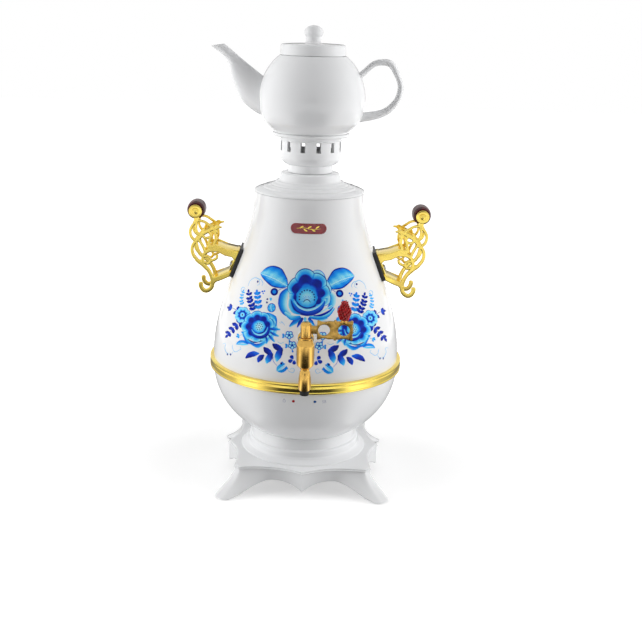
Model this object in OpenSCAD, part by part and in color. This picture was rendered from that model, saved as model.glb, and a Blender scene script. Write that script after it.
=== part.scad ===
// Electric samovar with a porcelain teapot on its crown.
// The vessel's axis is the Z axis, the table is at z = 0 and the tap is at the front, towards -Y.

/* [Base] */
// Height of the base plate's top above the table
base_h = 31.5; // [29:0.5:38]
// Half the width of the base plate, across its sides
plate_half = 74; // [72:0.5:80]
// How far the point in the middle of each side stands out
cusp_out = 11.5; // [7:0.5:14]
// How much of each corner of the base plate is cut off
corner_cut = 6; // [3:0.5:9]
// Thickness of the base plate
plate_t = 3; // [2.5:0.25:4]
// Wall of the skirt under the base plate
skirt_wall = 3; // [2.5:0.25:4]
// Height of the arches between the feet
arch_h = 16; // [12:0.5:19]
// Height of the points between the arches
point_h = 7.7; // [5:0.1:10]
// Distance of each toe from the vessel's axis
toe_reach = 126.5; // [118:0.5:134]
// Height of the rubber pads under the toes
pad_h = 1.2; // [0.8:0.1:2]
// Radius of the rubber pads
pad_r = 5.5; // [4.5:0.1:6]

/* [Column] */
// Height of the column between the base plate and the bowl
column_h = 26.1; // [22:0.1:32]
// Radius of the column's neck
neck_r = 58; // [56:0.5:62]
// Width of the foot ring around the column
foot_ring = 11.5; // [8:0.5:12]
// Wall of the column
column_wall = 3; // [2.5:0.25:4]

/* [Vessel] */
// Outer radius of the vessel below and above its belt
body_r = 101; // [97:0.5:106]
// Depth of the ellipse that the bowl follows
bowl_depth = 86; // [80:1:94]
// Height of the upper shell above the belt
shell_h = 181; // [172:1:195]
// Outer radius at the top of the upper shell
top_r = 58.3; // [56.5:0.1:60]
// How far up the upper shell's curve is pulled
shell_ease = 1.06; // [1:0.01:1.15]
// Wall of the bowl and the upper shell
wall = 2.5; // [2:0.25:3]
// Height of the belt
belt_h = 11; // [9:0.5:13]
// How far the belt stands out from the vessel
belt_out = 4; // [3:0.25:5]
// Height of the plaque's middle below the top of the upper shell
plaque_drop = 28.7; // [24:0.1:36]
// Width of the plaque
plaque_w = 36.5; // [30:0.5:40]
// Height of the plaque
plaque_h = 10.3; // [8:0.1:12]

/* [Tank and heater] */
// Gap between the outside of the shell and the tank
tank_gap = 8; // [7:0.25:9]
// Sheet of the tank
tank_t = 1; // [0.8:0.1:1.2]
// Depth of the tank below the belt's web
tank_drop = 7; // [5:0.5:8]
// Radius of the heater's disc
heater_r = 40; // [34:0.5:42]
// Thickness of the heater's disc
heater_t = 4; // [3:0.5:6]
// Radius of the tie rods
rod_r = 2.5; // [2:0.25:3]
// Radius of the circle that the tie rods stand on
rod_circle = 47; // [46:0.5:49]

/* [Front lamps and rear panel] */
// Height of the lamps below the middle of the bowl's ellipse
lamp_drop = 10.8; // [9:0.1:12]
// Half the distance between the two lamps
lamp_x = 11; // [8:0.5:14]
// Radius of the lamps
lamp_r = 1.5; // [1.25:0.05:2]
// Height of the rear panel's middle below the middle of the bowl's ellipse
panel_drop = 25; // [24:0.5:28]
// Width of the rear panel
panel_w = 60; // [58:0.5:66]
// Height of the rear panel
panel_h = 27; // [27:0.5:30]
// Width of the appliance inlet's body
inlet_w = 27.2; // [26:0.1:28]
// Width of the switch's body
switch_w = 18.8; // [18:0.1:20]
// Length of the switch's rocker
rocker_l = 15.6; // [14:0.1:16]

/* [Tap] */
// Height of the tap's pipe above the belt
tap_rise = 48; // [44:0.5:54]
// Distance of the tap's barrel from the vessel's axis
tap_reach = 147; // [138:0.5:156]
// Radius of the tap's barrel
barrel_r = 8.7; // [8:0.1:9.5]
// Radius of the plug that turns in the barrel
plug_r = 6.15; // [5.6:0.05:6.4]
// Radius of the tap's pipe
pipe_r = 6; // [5.5:0.1:7]
// Length of the nozzle below the pipe
nozzle_l = 38.3; // [34:0.1:44]
// Length of the key's plate, from the barrel's axis
key_l = 45; // [42:0.5:52]
// Thickness of the key's plate
key_t = 3; // [2:0.25:4]
// Radius of the bead on the key
bead_r = 6.8; // [6:0.1:8]
// Height of the bead on the key
bead_h = 19; // [16:0.5:22]

/* [Side handles] */
// Height of the handles' pads above the belt
handle_rise = 104; // [98:0.5:112]
// Distance between the two scroll plates of a handle
handle_gap = 28; // [24:0.5:34]
// Thickness of the scroll plates
scroll_t = 2.5; // [2:0.25:3.5]
// Thickness of the insulating pad
pad_t = 2; // [1.5:0.25:3]
// Width of the insulating pad
pad_w = 38; // [34:0.5:42]
// Length of the insulating pad
pad_l = 33; // [30:0.5:36]
// Largest radius of the grip
grip_r = 9.9; // [8.5:0.1:11]
// Radius of the grip's washers
washer_r = 7; // [6:0.1:7.5]
// Radius of the grip's bolt
bolt_r = 2; // [1.5:0.25:2.5]

/* [Cap and crown] */
// Height of the cap
cap_h = 20.2; // [18:0.2:24]
// Wall of the cap
cap_wall = 3; // [2.5:0.25:3.5]
// Radius of the crown's neck
crown_neck_r = 23.5; // [22:0.1:25]
// Radius of the crown
crown_r = 31.8; // [30:0.1:33]
// Radius of the crown's seat for the teapot
seat_r = 40.2; // [39:0.1:42]
// Height of the crown
crown_h = 41; // [38:0.5:46]
// Wall of the crown
crown_wall = 3; // [2.5:0.25:3.5]
// Number of slots around the crown
slot_count = 12; // [8:1:14]
// Width of each slot
slot_w = 4.8; // [4:0.1:6]
// Height of each slot
slot_h = 10.5; // [8:0.5:12]

/* [Teapot] */
// Radius of the teapot's round body
pot_r = 55.1; // [53:0.1:58]
// Height of the body's middle above the teapot's foot
pot_mid = 34.3; // [33:0.1:37]
// Radius of the teapot's foot
pot_foot_r = 39.2; // [38.4:0.1:40]
// Radius of the teapot's mouth and lid
lid_r = 33.4; // [31:0.1:34.5]
// Wall of the teapot
pot_wall = 3.2; // [2.6:0.1:4]
// Height of the lid's rim
lid_h = 11; // [9:0.1:13]
// Largest radius of the lid's knob
knob_r = 9.8; // [8.5:0.1:11]
// Height of the lid's knob
knob_h = 18.7; // [16:0.1:20]

/* [Hidden] */

$fn = 160;

// Colours
white = "#f4f4f2";
gold = "#d9a927";
brass = "#b8862b";
steel = "#b9bcc0";
black = "#1c1c1e";
wood = "#3a1518";
red = "#a80c0c";
silicone = "#e8e6df";

// Clearances
lift_gap = 0.3;
slip_gap = 0.3;
plug_gap = 0.05;
screw_gap = 0.2;

// Heights along the axis, from the table up
bowl_foot = base_h + column_h;
bowl_mid = bowl_foot + bowl_depth * sqrt(1 - pow(neck_r / body_r, 2));
belt_z0 = bowl_mid - 2;
belt_z1 = belt_z0 + belt_h;
web_t = 1;
web_z = (belt_z0 + belt_z1 - web_t) / 2;
shell_top = belt_z1 + shell_h;
tank_z0 = web_z - tank_drop;
cap_z0 = shell_top + lift_gap;
cap_top = cap_z0 + cap_h;
crown_z0 = cap_top + lift_gap;
crown_top = crown_z0 + crown_h;
pot_z0 = crown_top + lift_gap;
pot_mid_z = pot_z0 + pot_mid;
mouth_z = pot_mid_z + sqrt(pow(pot_r, 2) - pow(lid_r + 1, 2));
lid_z0 = mouth_z + lift_gap;
lid_top = lid_z0 + lid_h;

// ---------- Curves ----------

function smooth(t) = t <= 0 ? 0 : t >= 1 ? 1 : t * t * (3 - 2 * t);

function unit(v) = v / norm(v);

// Point between b and c on a smooth curve through a, b, c and d
function curve_at(a, b, c, d, t) =
    0.5 * (2 * b + (c - a) * t + (2 * a - 5 * b + 4 * c - d) * t * t
           + (3 * b - a - 3 * c + d) * t * t * t);

// Smooth curve through the points p, with n steps between neighbours
function curve(p, n) =
    let (last = len(p) - 1)
    [for (i = [0:last - 1], k = [0:n - 1])
        curve_at(p[max(i - 1, 0)], p[i], p[i + 1], p[min(i + 2, last)], k / n),
     p[last]];

function tangent(p, i) = unit(p[min(i + 1, len(p) - 1)] - p[max(i - 1, 0)]);

function reversed(p) = [for (i = [len(p) - 1:-1:0]) p[i]];

// Outer radius of the upper shell at height z
function shell_r(z) =
    z <= belt_z1 ? body_r :
    z >= shell_top ? top_r :
    top_r + (body_r - top_r) * (1 + cos(180 * pow((z - belt_z1) / shell_h, shell_ease))) / 2;

// Outer radius of the bowl at height z
function bowl_r(z) =
    z >= bowl_mid ? body_r : body_r * sqrt(1 - pow((bowl_mid - z) / bowl_depth, 2));

// Band of varying width along the flat points p, with round ends
module stroke(p, w0, w1, n = 3) {
    c = curve(p, n);
    last = len(c) - 1;
    side = [for (i = [0:last]) let (t = tangent(c, i))
            [-t[1], t[0]] * (w0 + (w1 - w0) * i / last) / 2];
    polygon(concat([for (i = [0:last]) c[i] + side[i]],
                   [for (i = [last:-1:0]) c[i] - side[i]]));
    translate(c[0]) circle(d = w0, $fn = 12);
    translate(c[last]) circle(d = w1, $fn = 12);
}

// Closed skin over rings of points, each ring with the same count
module skin(rings) {
    m = len(rings);
    n = len(rings[0]);
    points = concat([for (ring = rings) each ring]);
    sides = [for (k = [0:m - 2], i = [0:n - 1])
             let (a = k * n + i, b = k * n + (i + 1) % n, c = b + n, d = a + n)
             each [[a, b, c], [a, c, d]]];
    polyhedron(points, concat(sides, [reversed([for (i = [0:n - 1]) i])],
                              [[for (i = [0:n - 1]) (m - 1) * n + i]]), convexity = 8);
}

// Directions across a path, each turned from the last by the path's own bend
function across(p) =
    let (t0 = tangent(p, 0),
         start = unit(cross(t0, abs(t0[2]) < 0.8 ? [0, 0, 1] : [1, 0, 0])))
    [for (i = 0, a = start; i < len(p);
          i = i + 1, a = i < len(p) ? unit(a - (a * tangent(p, i)) * tangent(p, i)) : a) a];

// Round tube along the points p
module tube(p, r, sides = 8) {
    a = across(p);
    skin([for (i = [0:len(p) - 1])
          let (u = a[i], v = cross(tangent(p, i), u))
          [for (k = [0:sides - 1]) p[i] + r * (cos(360 * k / sides) * u + sin(360 * k / sides) * v)]]);
}

// Rectangle with round corners, centred
module round_rect(w, h, r) {
    square([w - 2 * r, h], center = true);
    square([w, h - 2 * r], center = true);
    for (x = [-1, 1], y = [-1, 1]) translate([x * (w / 2 - r), y * (h / 2 - r)]) circle(r);
}

// Round rod from height z0 to z1
module rod(r, z0, z1) {
    translate([0, 0, z0]) cylinder(r = r, h = z1 - z0);
}

// Ring from height z0 to z1
module ring(r_out, r_in, z0, z1) {
    difference() {
        rod(r_out, z0, z1);
        rod(r_in, z0 - 1, z1 + 1);
    }
}

// ---------- Base ----------

lip_out = 1.6;        // how far the plate's lip stands out over the skirt
side_x = plate_half - corner_cut;
side_dip = 2.5;       // how far each side curves in between its point and its corners
toe_angle = 5;        // half the angle that a toe takes up
arch_angle = 20.3;    // angle from a foot's diagonal to the top of an arch
edge_r = 1;           // rounding of the skirt's lower edge
skirt_top = base_h - plate_t;
angles = 80;
hole_r = 42;          // opening in the middle of the base plate
screw_circle = 50.5;
screw_r = 1.5;

// Outline of one side of the base plate
function side_y(x) =
    let (u = min(abs(x) / side_x, 1))
    plate_half + cusp_out * pow(1 - u, 3) - side_dip * sin(180 * u);
function side_cross(a, x = 0, n = 8) = n == 0 ? x : side_cross(a, tan(a) * side_y(x), n - 1);

// Angle from the nearest foot's diagonal, 0 at a foot and 45 in the middle of a side
function foot_angle(a) = abs(((a % 90) + 90) % 90 - 45);

function plate_r(a) =
    let (b = 45 - foot_angle(a))
    min(side_y(side_cross(b)) / cos(b), (2 * plate_half - corner_cut) / (sin(b) + cos(b)));

// Height of the skirt's lower edge
function skirt_z(a) =
    let (d = foot_angle(a), foot = (arch_angle - d) / (arch_angle - toe_angle),
         side = (d - arch_angle) / (45 - arch_angle))
    d <= toe_angle ? pad_h :
    d <= arch_angle ? arch_h - (arch_h - pad_h) * pow(foot, 2.2) :
    arch_h - (arch_h - point_h) * pow(side, 2.6);

// How much of the toes' flare there is at an angle and a height
function flare(a, z) =
    smooth((arch_angle + 2 - foot_angle(a)) / (arch_angle + 2 - toe_angle))
    * pow(max(skirt_top - z, 0) / (skirt_top - pad_h), 1.8);

toe_flare = toe_reach - plate_r(45) + lip_out;
toe_core = 0.45;      // share of the flare that the inside of the foot follows

function skirt_ring(z_share, cut = 0) =
    [for (i = [0:angles - 1])
        let (a = 360 * i / angles, low = skirt_z(a), z = low + (skirt_top - low) * z_share,
             r = plate_r(a) - lip_out + toe_flare * flare(a, z) - cut)
        [r * cos(a), r * sin(a), z]];
function inner_ring(z_share) =
    [for (i = [0:angles - 1])
        let (a = 360 * i / angles, low = skirt_z(a), z = low + (skirt_top - low) * z_share,
             r = plate_r(a) - lip_out - skirt_wall + toe_flare * toe_core * flare(a, z))
        [r * cos(a), r * sin(a), z]];
function lip_ring(out, z) =
    [for (i = [0:angles - 1]) let (a = 360 * i / angles, r = plate_r(a) + out) [r * cos(a), r * sin(a), z]];
function inner_disc(r, z) =
    [for (i = [0:angles - 1]) let (a = 360 * i / angles) [r * cos(a), r * sin(a), z]];

module base_pedestal() {
    color(white) difference() {
        skin([inner_ring(1), inner_ring(0.6), inner_ring(0.3), inner_ring(0),
              skirt_ring(0, edge_r), skirt_ring(0.06), skirt_ring(0.25), skirt_ring(0.5),
              skirt_ring(0.75), skirt_ring(1),
              lip_ring(0, skirt_top), lip_ring(0, base_h - plate_t * 0.55),
              lip_ring(-1.2, base_h - plate_t * 0.45), lip_ring(-1.2, base_h - 0.4),
              lip_ring(-1.8, base_h)]);
        rod(hole_r, 0, base_h + 1);
        cover_screw_places() rod(screw_r + screw_gap, 0, base_h + 1);
        toe_places() rod(peg_r, 0, pad_h + peg_h);
    }
}

peg_r = 2;
peg_h = 4;
module toe_places() {
    for (a = [45:90:315]) rotate(a) translate([toe_reach - edge_r - pad_r - 3, 0, 0]) children();
}

module rubber_pads() {
    color(black) toe_places() {
        rod(pad_r, 0, pad_h);
        rod(peg_r, pad_h, pad_h + peg_h);
    }
}

cover_t = 1.5;
module cover_screw_places() {
    for (a = [0:90:270]) rotate(a) translate([screw_circle, 0, 0]) children();
}

module bottom_cover() {
    color(black) difference() {
        rod(screw_circle + 4, skirt_top - cover_t, skirt_top);
        cover_screw_places() rod(screw_r + screw_gap, 0, base_h);
        // Slots that let the warm air out
        for (a = [0:30:330]) rotate(a) translate([22, -1.5, 0]) cube([14, 3, base_h]);
    }
}

head_h = 1.8;
module cover_screws() {
    color(steel) cover_screw_places() {
        rod(3, skirt_top - cover_t - head_h, skirt_top - cover_t);
        rod(screw_r, skirt_top - cover_t, base_h + column_wall - 0.5);
    }
}

// ---------- Column and bowl ----------

flange_r = 40;        // inner radius of the flanges that the tie rods pull together

module rod_places() {
    for (a = [90, 210, 330]) rotate(a) translate([rod_circle, 0, 0]) children();
}

module column() {
    color(white) difference() {
        rotate_extrude() polygon([
            [flange_r, bowl_foot], [neck_r, bowl_foot], [neck_r, base_h + column_h * 0.53],
            [neck_r + foot_ring * 0.2, base_h + column_h * 0.51],
            [neck_r + foot_ring * 0.28, base_h + column_h * 0.46],
            [neck_r + foot_ring * 0.3, base_h + column_h * 0.26],
            [neck_r + foot_ring * 0.42, base_h + column_h * 0.17],
            [neck_r + foot_ring * 0.65, base_h + column_h * 0.1],
            [neck_r + foot_ring * 0.92, base_h + column_h * 0.055],
            [neck_r + foot_ring, base_h + column_h * 0.02], [neck_r + foot_ring, base_h],
            [screw_circle - 4, base_h], [screw_circle - 4, base_h + column_wall],
            [neck_r - column_wall, base_h + column_wall],
            [neck_r - column_wall, bowl_foot - column_wall],
            [flange_r, bowl_foot - column_wall]]);
        cover_screw_places() rod(screw_r, base_h - 1, base_h + column_wall + 1);
        rod_places() rod(rod_r + screw_gap, bowl_foot - column_wall - 1, bowl_foot + 1);
    }
}

rim_in = body_r - wall;
steps = 14;

module bowl_solid(shift = 0) {
    rotate_extrude() polygon(concat(
        [[0, bowl_foot + shift]],
        [for (i = [0:steps]) let (a = asin((bowl_mid - bowl_foot - shift) / bowl_depth) * (1 - i / steps))
            [body_r * cos(a) - shift, bowl_mid - bowl_depth * sin(a)]],
        [[body_r - shift, web_z + (shift > 0 ? 1 : 0)], [0, web_z + (shift > 0 ? 1 : 0)]]));
}

panel_y = body_r + 0.5;     // outer face of the rear panel
panel_z = bowl_mid - panel_drop;
panel_round = 4;
panel_deep = 30;            // how far the panel's box reaches into the bowl
inlet_h = 19.6;
inlet_x = panel_w / 2 - wall - inlet_w / 2 - 2;
switch_h = 12.8;
switch_x = -(panel_w / 2 - wall - switch_w / 2 - 2);
lamp_z = bowl_mid - lamp_drop;
board_y = -(bowl_r(lamp_z) - wall - 6);
boss_x = lamp_x + 6;

// Things that run along Y, drawn in a frame with X to the right and Z up
module along_y(y0, y1) {
    translate([0, y1, 0]) rotate([90, 0, 0]) linear_extrude(y1 - y0) children();
}

module bowl_shell() {
    color(white) difference() {
        union() {
            difference() {
                union() {
                    bowl_solid();
                    translate([0, 0, panel_z]) along_y(panel_y - panel_deep, panel_y)
                        round_rect(panel_w, panel_h, panel_round);
                }
                bowl_solid(wall);
                translate([0, 0, panel_z]) along_y(panel_y - panel_deep - 1, panel_y - wall)
                    round_rect(panel_w - 2 * wall, panel_h - 2 * wall, panel_round - wall / 2);
            }
            // Bosses and pins that carry the lamps' board
            intersection() {
                for (x = [-boss_x, boss_x]) translate([x, 0, lamp_z]) {
                    along_y(-body_r, board_y) circle(2.2);
                    along_y(-body_r, board_y + board_t + 1) circle(1);
                }
                bowl_solid();
            }
        }
        rod(flange_r, bowl_foot - 1, bowl_foot + wall + 1);
        rod_places() rod(rod_r + screw_gap, bowl_foot - 1, bowl_foot + wall + 1);
        for (x = [-lamp_x, lamp_x]) translate([x, 0, lamp_z])
            along_y(-body_r - 1, board_y) circle(lamp_r + 0.05);
        translate([inlet_x, 0, panel_z]) along_y(panel_y - wall - 1, panel_y + 1)
            square([inlet_w, inlet_h], center = true);
        translate([switch_x, 0, panel_z]) along_y(panel_y - wall - 1, panel_y + 1)
            square([switch_w, switch_h], center = true);
    }
}

module belt() {
    color(gold) rotate_extrude() polygon([
        [body_r, belt_z0], [body_r + belt_out - 1, belt_z0], [body_r + belt_out, belt_z0 + 1],
        [body_r + belt_out, belt_z1 - 1], [body_r + belt_out - 1, belt_z1], [body_r, belt_z1],
        [body_r, web_z + web_t], [rim_in - 2, web_z + web_t], [rim_in - 2, web_z], [body_r, web_z]]);
}

// ---------- Upper shell and tank ----------

rebate_h = 1.2;       // step at the top of the shell that the tank's flange lies in
rebate_w = 1.5;       // width of the shell's rim outside that step
lip_in = 4;           // thickness of the shell's rim
lip_deep = 6;
shell_steps = 28;

shell_outline = concat(
    [[body_r, web_z + web_t]],
    [for (i = [0:shell_steps]) let (z = belt_z1 + shell_h * i / shell_steps) [shell_r(z), z]]);
shell_inside = [for (i = [0:shell_steps - 1])
    let (z = belt_z1 + (shell_h - lip_deep) * i / shell_steps) [shell_r(z) - wall, z]];

module shell_solid() {
    rotate_extrude() polygon(concat([[0, web_z + web_t]], shell_outline, [[0, shell_top]]));
}

module shell_hollow() {
    rotate_extrude() polygon(concat(
        [[0, web_z], [rim_in, web_z]], shell_inside,
        [[top_r - wall, shell_top - lip_deep], [top_r - lip_in, shell_top - lip_deep + 1],
         [top_r - lip_in, shell_top - rebate_h], [top_r - rebate_w, shell_top - rebate_h],
         [top_r - rebate_w, shell_top + 1], [0, shell_top + 1]]));
}

tap_z = belt_z1 + tap_rise;
shank_r = pipe_r;
hole_gap = 0.2;

module body_shell() {
    color(white) difference() {
        shell_solid();
        shell_hollow();
        translate([0, 0, tap_z]) along_y(-body_r - 1, 0) circle(shank_r + hole_gap);
        for (side = [-1, 1]) side_frame(side) screw_places() rod(mount_screw_r + screw_gap, -30, 10);
    }
}

// Raised plaque on the front of the shell
plaque_z = shell_top - plaque_drop;
plaque_t = 0.8;

module plaque_solid(w, h, out) {
    intersection() {
        translate([0, 0, plaque_z]) along_y(-body_r, 0) round_rect(w, h, h / 2 - 0.01);
        rotate_extrude() polygon([for (p = [[0, -1], [1, -1], [1, 1], [0, 1]])
            let (z = plaque_z + p[1] * h) [p[0] * (shell_r(z) + out), z]]);
    }
}
module plaque() {
    color(red) difference() {
        plaque_solid(plaque_w, plaque_h, plaque_t);
        shell_solid();
    }
}

tank_r = body_r - tank_gap;
tank_corner = 6;
tank_flange_r = top_r - rebate_w - slip_gap;
tank_flange_z = shell_top - rebate_h;

module tank_solid(shift) {
    rotate_extrude() polygon(concat(
        [[0, tank_z0 + shift]],
        [for (a = [-90:15:0]) [tank_r - tank_corner + (tank_corner - shift) * cos(a),
                               tank_z0 + tank_corner + (tank_corner - shift) * sin(a)]],
        [for (i = [0:shell_steps - 1]) let (z = belt_z1 + shell_h * i / shell_steps)
            [shell_r(z) - tank_gap - shift, z]],
        [[top_r - tank_gap - shift, tank_flange_z + tank_t + (shift > 0 ? 1 : 0)],
         [0, tank_flange_z + tank_t + (shift > 0 ? 1 : 0)]]));
}

module water_tank() {
    color(steel) difference() {
        union() {
            tank_solid(0);
            rod(tank_flange_r, tank_flange_z, tank_flange_z + tank_t);
        }
        tank_solid(tank_t);
        translate([0, 0, tap_z]) along_y(-tank_r - 1, 0) circle(shank_r + hole_gap);
    }
}

// ---------- Heater and its controls ----------

stud_x = heater_r - 12;
stud_r = 2;
stud_l = 12;
coil_r = 3.2;
heater_z = tank_z0 - heater_t;

module heater() {
    color(steel) {
        rod(heater_r, heater_z, tank_z0);
        difference() {
            translate([0, 0, heater_z]) rotate_extrude() translate([stud_x, 0]) circle(coil_r);
            rod(heater_r, heater_z, heater_z + coil_r + 1);
        }
        for (x = [-stud_x, stud_x]) translate([x, 0, 0]) rod(stud_r, heater_z - coil_r - stud_l, heater_z);
    }
}

cutout_r = 8;
cutout_h = 9;
tab_l = 7;
module thermostat() {
    color(black) {
        rod(cutout_r, heater_z - cutout_h, heater_z);
        for (x = [-4, 4]) translate([x - 0.4, -3, heater_z - cutout_h - tab_l]) cube([0.8, 6, tab_l]);
    }
}

fuse_y = stud_x - coil_r - 8;
fuse_r = 2.5;
fuse_l = 14;
module thermal_fuse() {
    color(steel) {
        translate([0, fuse_y, heater_z - fuse_r - 1]) rotate([0, 90, 0])
            cylinder(r = fuse_r, h = fuse_l, center = true);
        // Clip that holds the fuse under the heater's disc
        translate([-2, fuse_y - fuse_r - 1, heater_z - fuse_r - 1]) cube([4, 2 * fuse_r + 2, fuse_r + 1]);
    }
}

nut_flats = 8;
nut_h = 4;
module hex_nut(flats, h) {
    cylinder(r = flats / sqrt(3), h = h, $fn = 6);
}

module tie_rods() {
    color(steel) rod_places() rod(rod_r, bowl_foot - column_wall - nut_h - 2, tank_z0);
}

module tie_nuts() {
    color(steel) rod_places() difference() {
        translate([0, 0, bowl_foot - column_wall - nut_h]) hex_nut(nut_flats + 2 * (rod_r - 2.5), nut_h);
        rod(rod_r, 0, bowl_foot);
    }
}

// ---------- Lamps ----------

board_t = 1.6;
board_h = 9;
module lamp_board() {
    color("#1f5b35") difference() {
        translate([0, 0, lamp_z]) along_y(board_y, board_y + board_t)
            square([2 * boss_x + 8, board_h], center = true);
        for (x = [-boss_x, boss_x]) translate([x, 0, lamp_z])
            along_y(board_y - 1, board_y + board_t + 1) circle(1 + 0.1);
    }
}

lamp_out = 0.8;
module lamp(x) {
    front = -sqrt(pow(bowl_r(lamp_z), 2) - x * x) - lamp_out;
    translate([x, board_y, lamp_z]) rotate([90, 0, 0]) rotate_extrude()
        polygon(concat([[0, 0], [lamp_r, 0]], [for (a = [0:15:90])
            [lamp_r * cos(a), board_y - front - lamp_r * (1 - sin(a))]]));
}
module red_lamp() { color("#e02020") lamp(-lamp_x); }
module blue_lamp() { color("#2040e0") lamp(lamp_x); }

// ---------- Inlet and switch ----------

bezel_t = 2;
inlet_deep = 20;
socket_w = inlet_w - 3.2;
socket_h = inlet_h - 3.2;
socket_deep = 16;
module power_inlet() {
    color(black) translate([inlet_x, 0, panel_z]) difference() {
        union() {
            along_y(panel_y, panel_y + bezel_t) round_rect(inlet_w + 2, inlet_h + 4, 2);
            along_y(panel_y - inlet_deep, panel_y) square([inlet_w - 0.1, inlet_h - 0.1], center = true);
        }
        // Socket, with its two lower corners cut
        along_y(panel_y + bezel_t - socket_deep, panel_y + bezel_t + 1)
            polygon([[-socket_w / 2, socket_h / 2], [-socket_w / 2, -socket_h / 2 + 4],
                     [-socket_w / 2 + 4, -socket_h / 2], [socket_w / 2 - 4, -socket_h / 2],
                     [socket_w / 2, -socket_h / 2 + 4], [socket_w / 2, socket_h / 2]]);
        for (p = pin_places) translate([p[0], 0, p[1]])
            along_y(panel_y - inlet_deep - 1, panel_y) square([2, 4], center = true);
    }
}

pin_places = [[-7, -1.5], [7, -1.5], [0, 2.5]];
pin_tail = 8;
module inlet_pins() {
    color(steel) translate([inlet_x, 0, panel_z]) for (p = pin_places) translate([p[0], 0, p[1]])
        along_y(panel_y - inlet_deep - pin_tail, panel_y + bezel_t - 3) square([2, 4], center = true);
}

switch_deep = 17;
rocker_w = 10.4;
pivot_r = 1.2;
pivot_y = panel_y - 1.5;
rocker_tilt = 8;
module switch_housing() {
    color(black) translate([switch_x, 0, panel_z]) difference() {
        union() {
            along_y(panel_y, panel_y + bezel_t) square([switch_w + 2.2, switch_h + 2.2], center = true);
            along_y(panel_y - switch_deep, panel_y) square([switch_w - 0.1, switch_h - 0.1], center = true);
            for (x = [-5, 5]) translate([x, 0, 0])
                along_y(panel_y - switch_deep - tab_l, panel_y - switch_deep) square([0.8, 5], center = true);
        }
        along_y(panel_y - switch_deep + 2, panel_y + bezel_t + 1)
            square([switch_w - 1.2, rocker_w + 0.6], center = true);
        translate([0, pivot_y, -switch_h]) cylinder(r = pivot_r + 0.05, h = 2 * switch_h);
    }
}

// The rocker is drawn level and then tilted to its off position
module switch_rocker() {
    half = rocker_l / 2;
    color(red) translate([switch_x, pivot_y, panel_z]) rotate(rocker_tilt) {
        translate([0, 0, -rocker_w / 2]) linear_extrude(rocker_w)
            polygon([[-half, 5.8], [0, 4.6], [half, 5.8], [half - 0.6, 0], [half - 3, -5],
                     [3 - half, -5], [0.6 - half, 0]]);
        translate([0, 0, -rocker_w / 2 - 0.9]) cylinder(r = pivot_r, h = rocker_w + 1.8);
    }
}

// ---------- Wiring ----------

wire_r = 1.2;
pins_y = panel_y - inlet_deep - pin_tail;
tabs_y = panel_y - switch_deep - tab_l;
stud_end = heater_z - coil_r - stud_l;
loop_z = stud_end - 14;     // height that the slack of the wires hangs to

wires = [
    // Live pin to the switch
    [[inlet_x - 7, pins_y, panel_z - 1.5], [inlet_x - 9, pins_y - 10, panel_z - 4],
     [inlet_x - 20, pins_y - 14, loop_z], [switch_x + 12, tabs_y - 15, loop_z + 2],
     [switch_x + 6, tabs_y - 9, panel_z - 2], [switch_x + 5, tabs_y, panel_z]],
    // Switch to the cut-out
    [[switch_x - 5, tabs_y, panel_z], [switch_x - 5, tabs_y - 12, panel_z - 2],
     [switch_x + 2, 34, loop_z + 2], [-12, 12, loop_z + 4], [-5, 2, stud_end - 6],
     [-4, 0, heater_z - cutout_h - tab_l]],
    // Cut-out to the heater
    [[4, 0, heater_z - cutout_h - tab_l], [6, 0, stud_end - 4], [14, -4, loop_z + 4],
     [stud_x - 4, -5, stud_end - 9], [stud_x, 0, stud_end]],
    // Neutral pin to the heater, past the fuse
    [[inlet_x + 7, pins_y, panel_z - 1.5], [inlet_x + 7, pins_y - 12, panel_z - 4],
     [inlet_x - 4, 40, loop_z - 6], [0, 16, loop_z - 8], [-18, 2, loop_z - 2],
     [-stud_x, -2, stud_end - 8], [-stud_x, 0, stud_end]],
    // Leads to the lamps' board
    [[-8, board_y + board_t, lamp_z - 2], [-8, board_y + 12, lamp_z - 6],
     [-10, board_y + 30, loop_z], [-14, -20, loop_z - 2], [-22, 20, loop_z - 6],
     [switch_x - 3, 40, loop_z], [switch_x - 6.5, tabs_y - 9, panel_z - 6],
     [switch_x - 5, tabs_y - 2.6, panel_z - 0.6]]];

module wiring() {
    color("#c8641e") for (w = wires) tube(curve(w, 3), wire_r, 6);
}

// ---------- Tap ----------

collar_r = 8.3;
collar_t = 3;
seal_min = 1;
// The shell leans back, so its foremost point at the tap is at the seal's lower edge
collar_y = -(shell_r(tap_z - collar_r) + seal_min);
tank_in_y = -(shell_r(tap_z - collar_r) - tank_gap - tank_t);
seal_face_y = tank_in_y + 8;
nut_t = 5;
water_r = pipe_r - 1.8;
barrel_up = 14;       // height of the barrel above the pipe's axis
tip_l = 4.7;
nozzle_end = tap_z - nozzle_l;
plug_top = tap_z + 7.5;
plug_low = tap_z - 8.5;
outlet_r = 3;
stem_r = 3.5;

module at_tap() {
    translate([0, -tap_reach, 0]) children();
}

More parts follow.
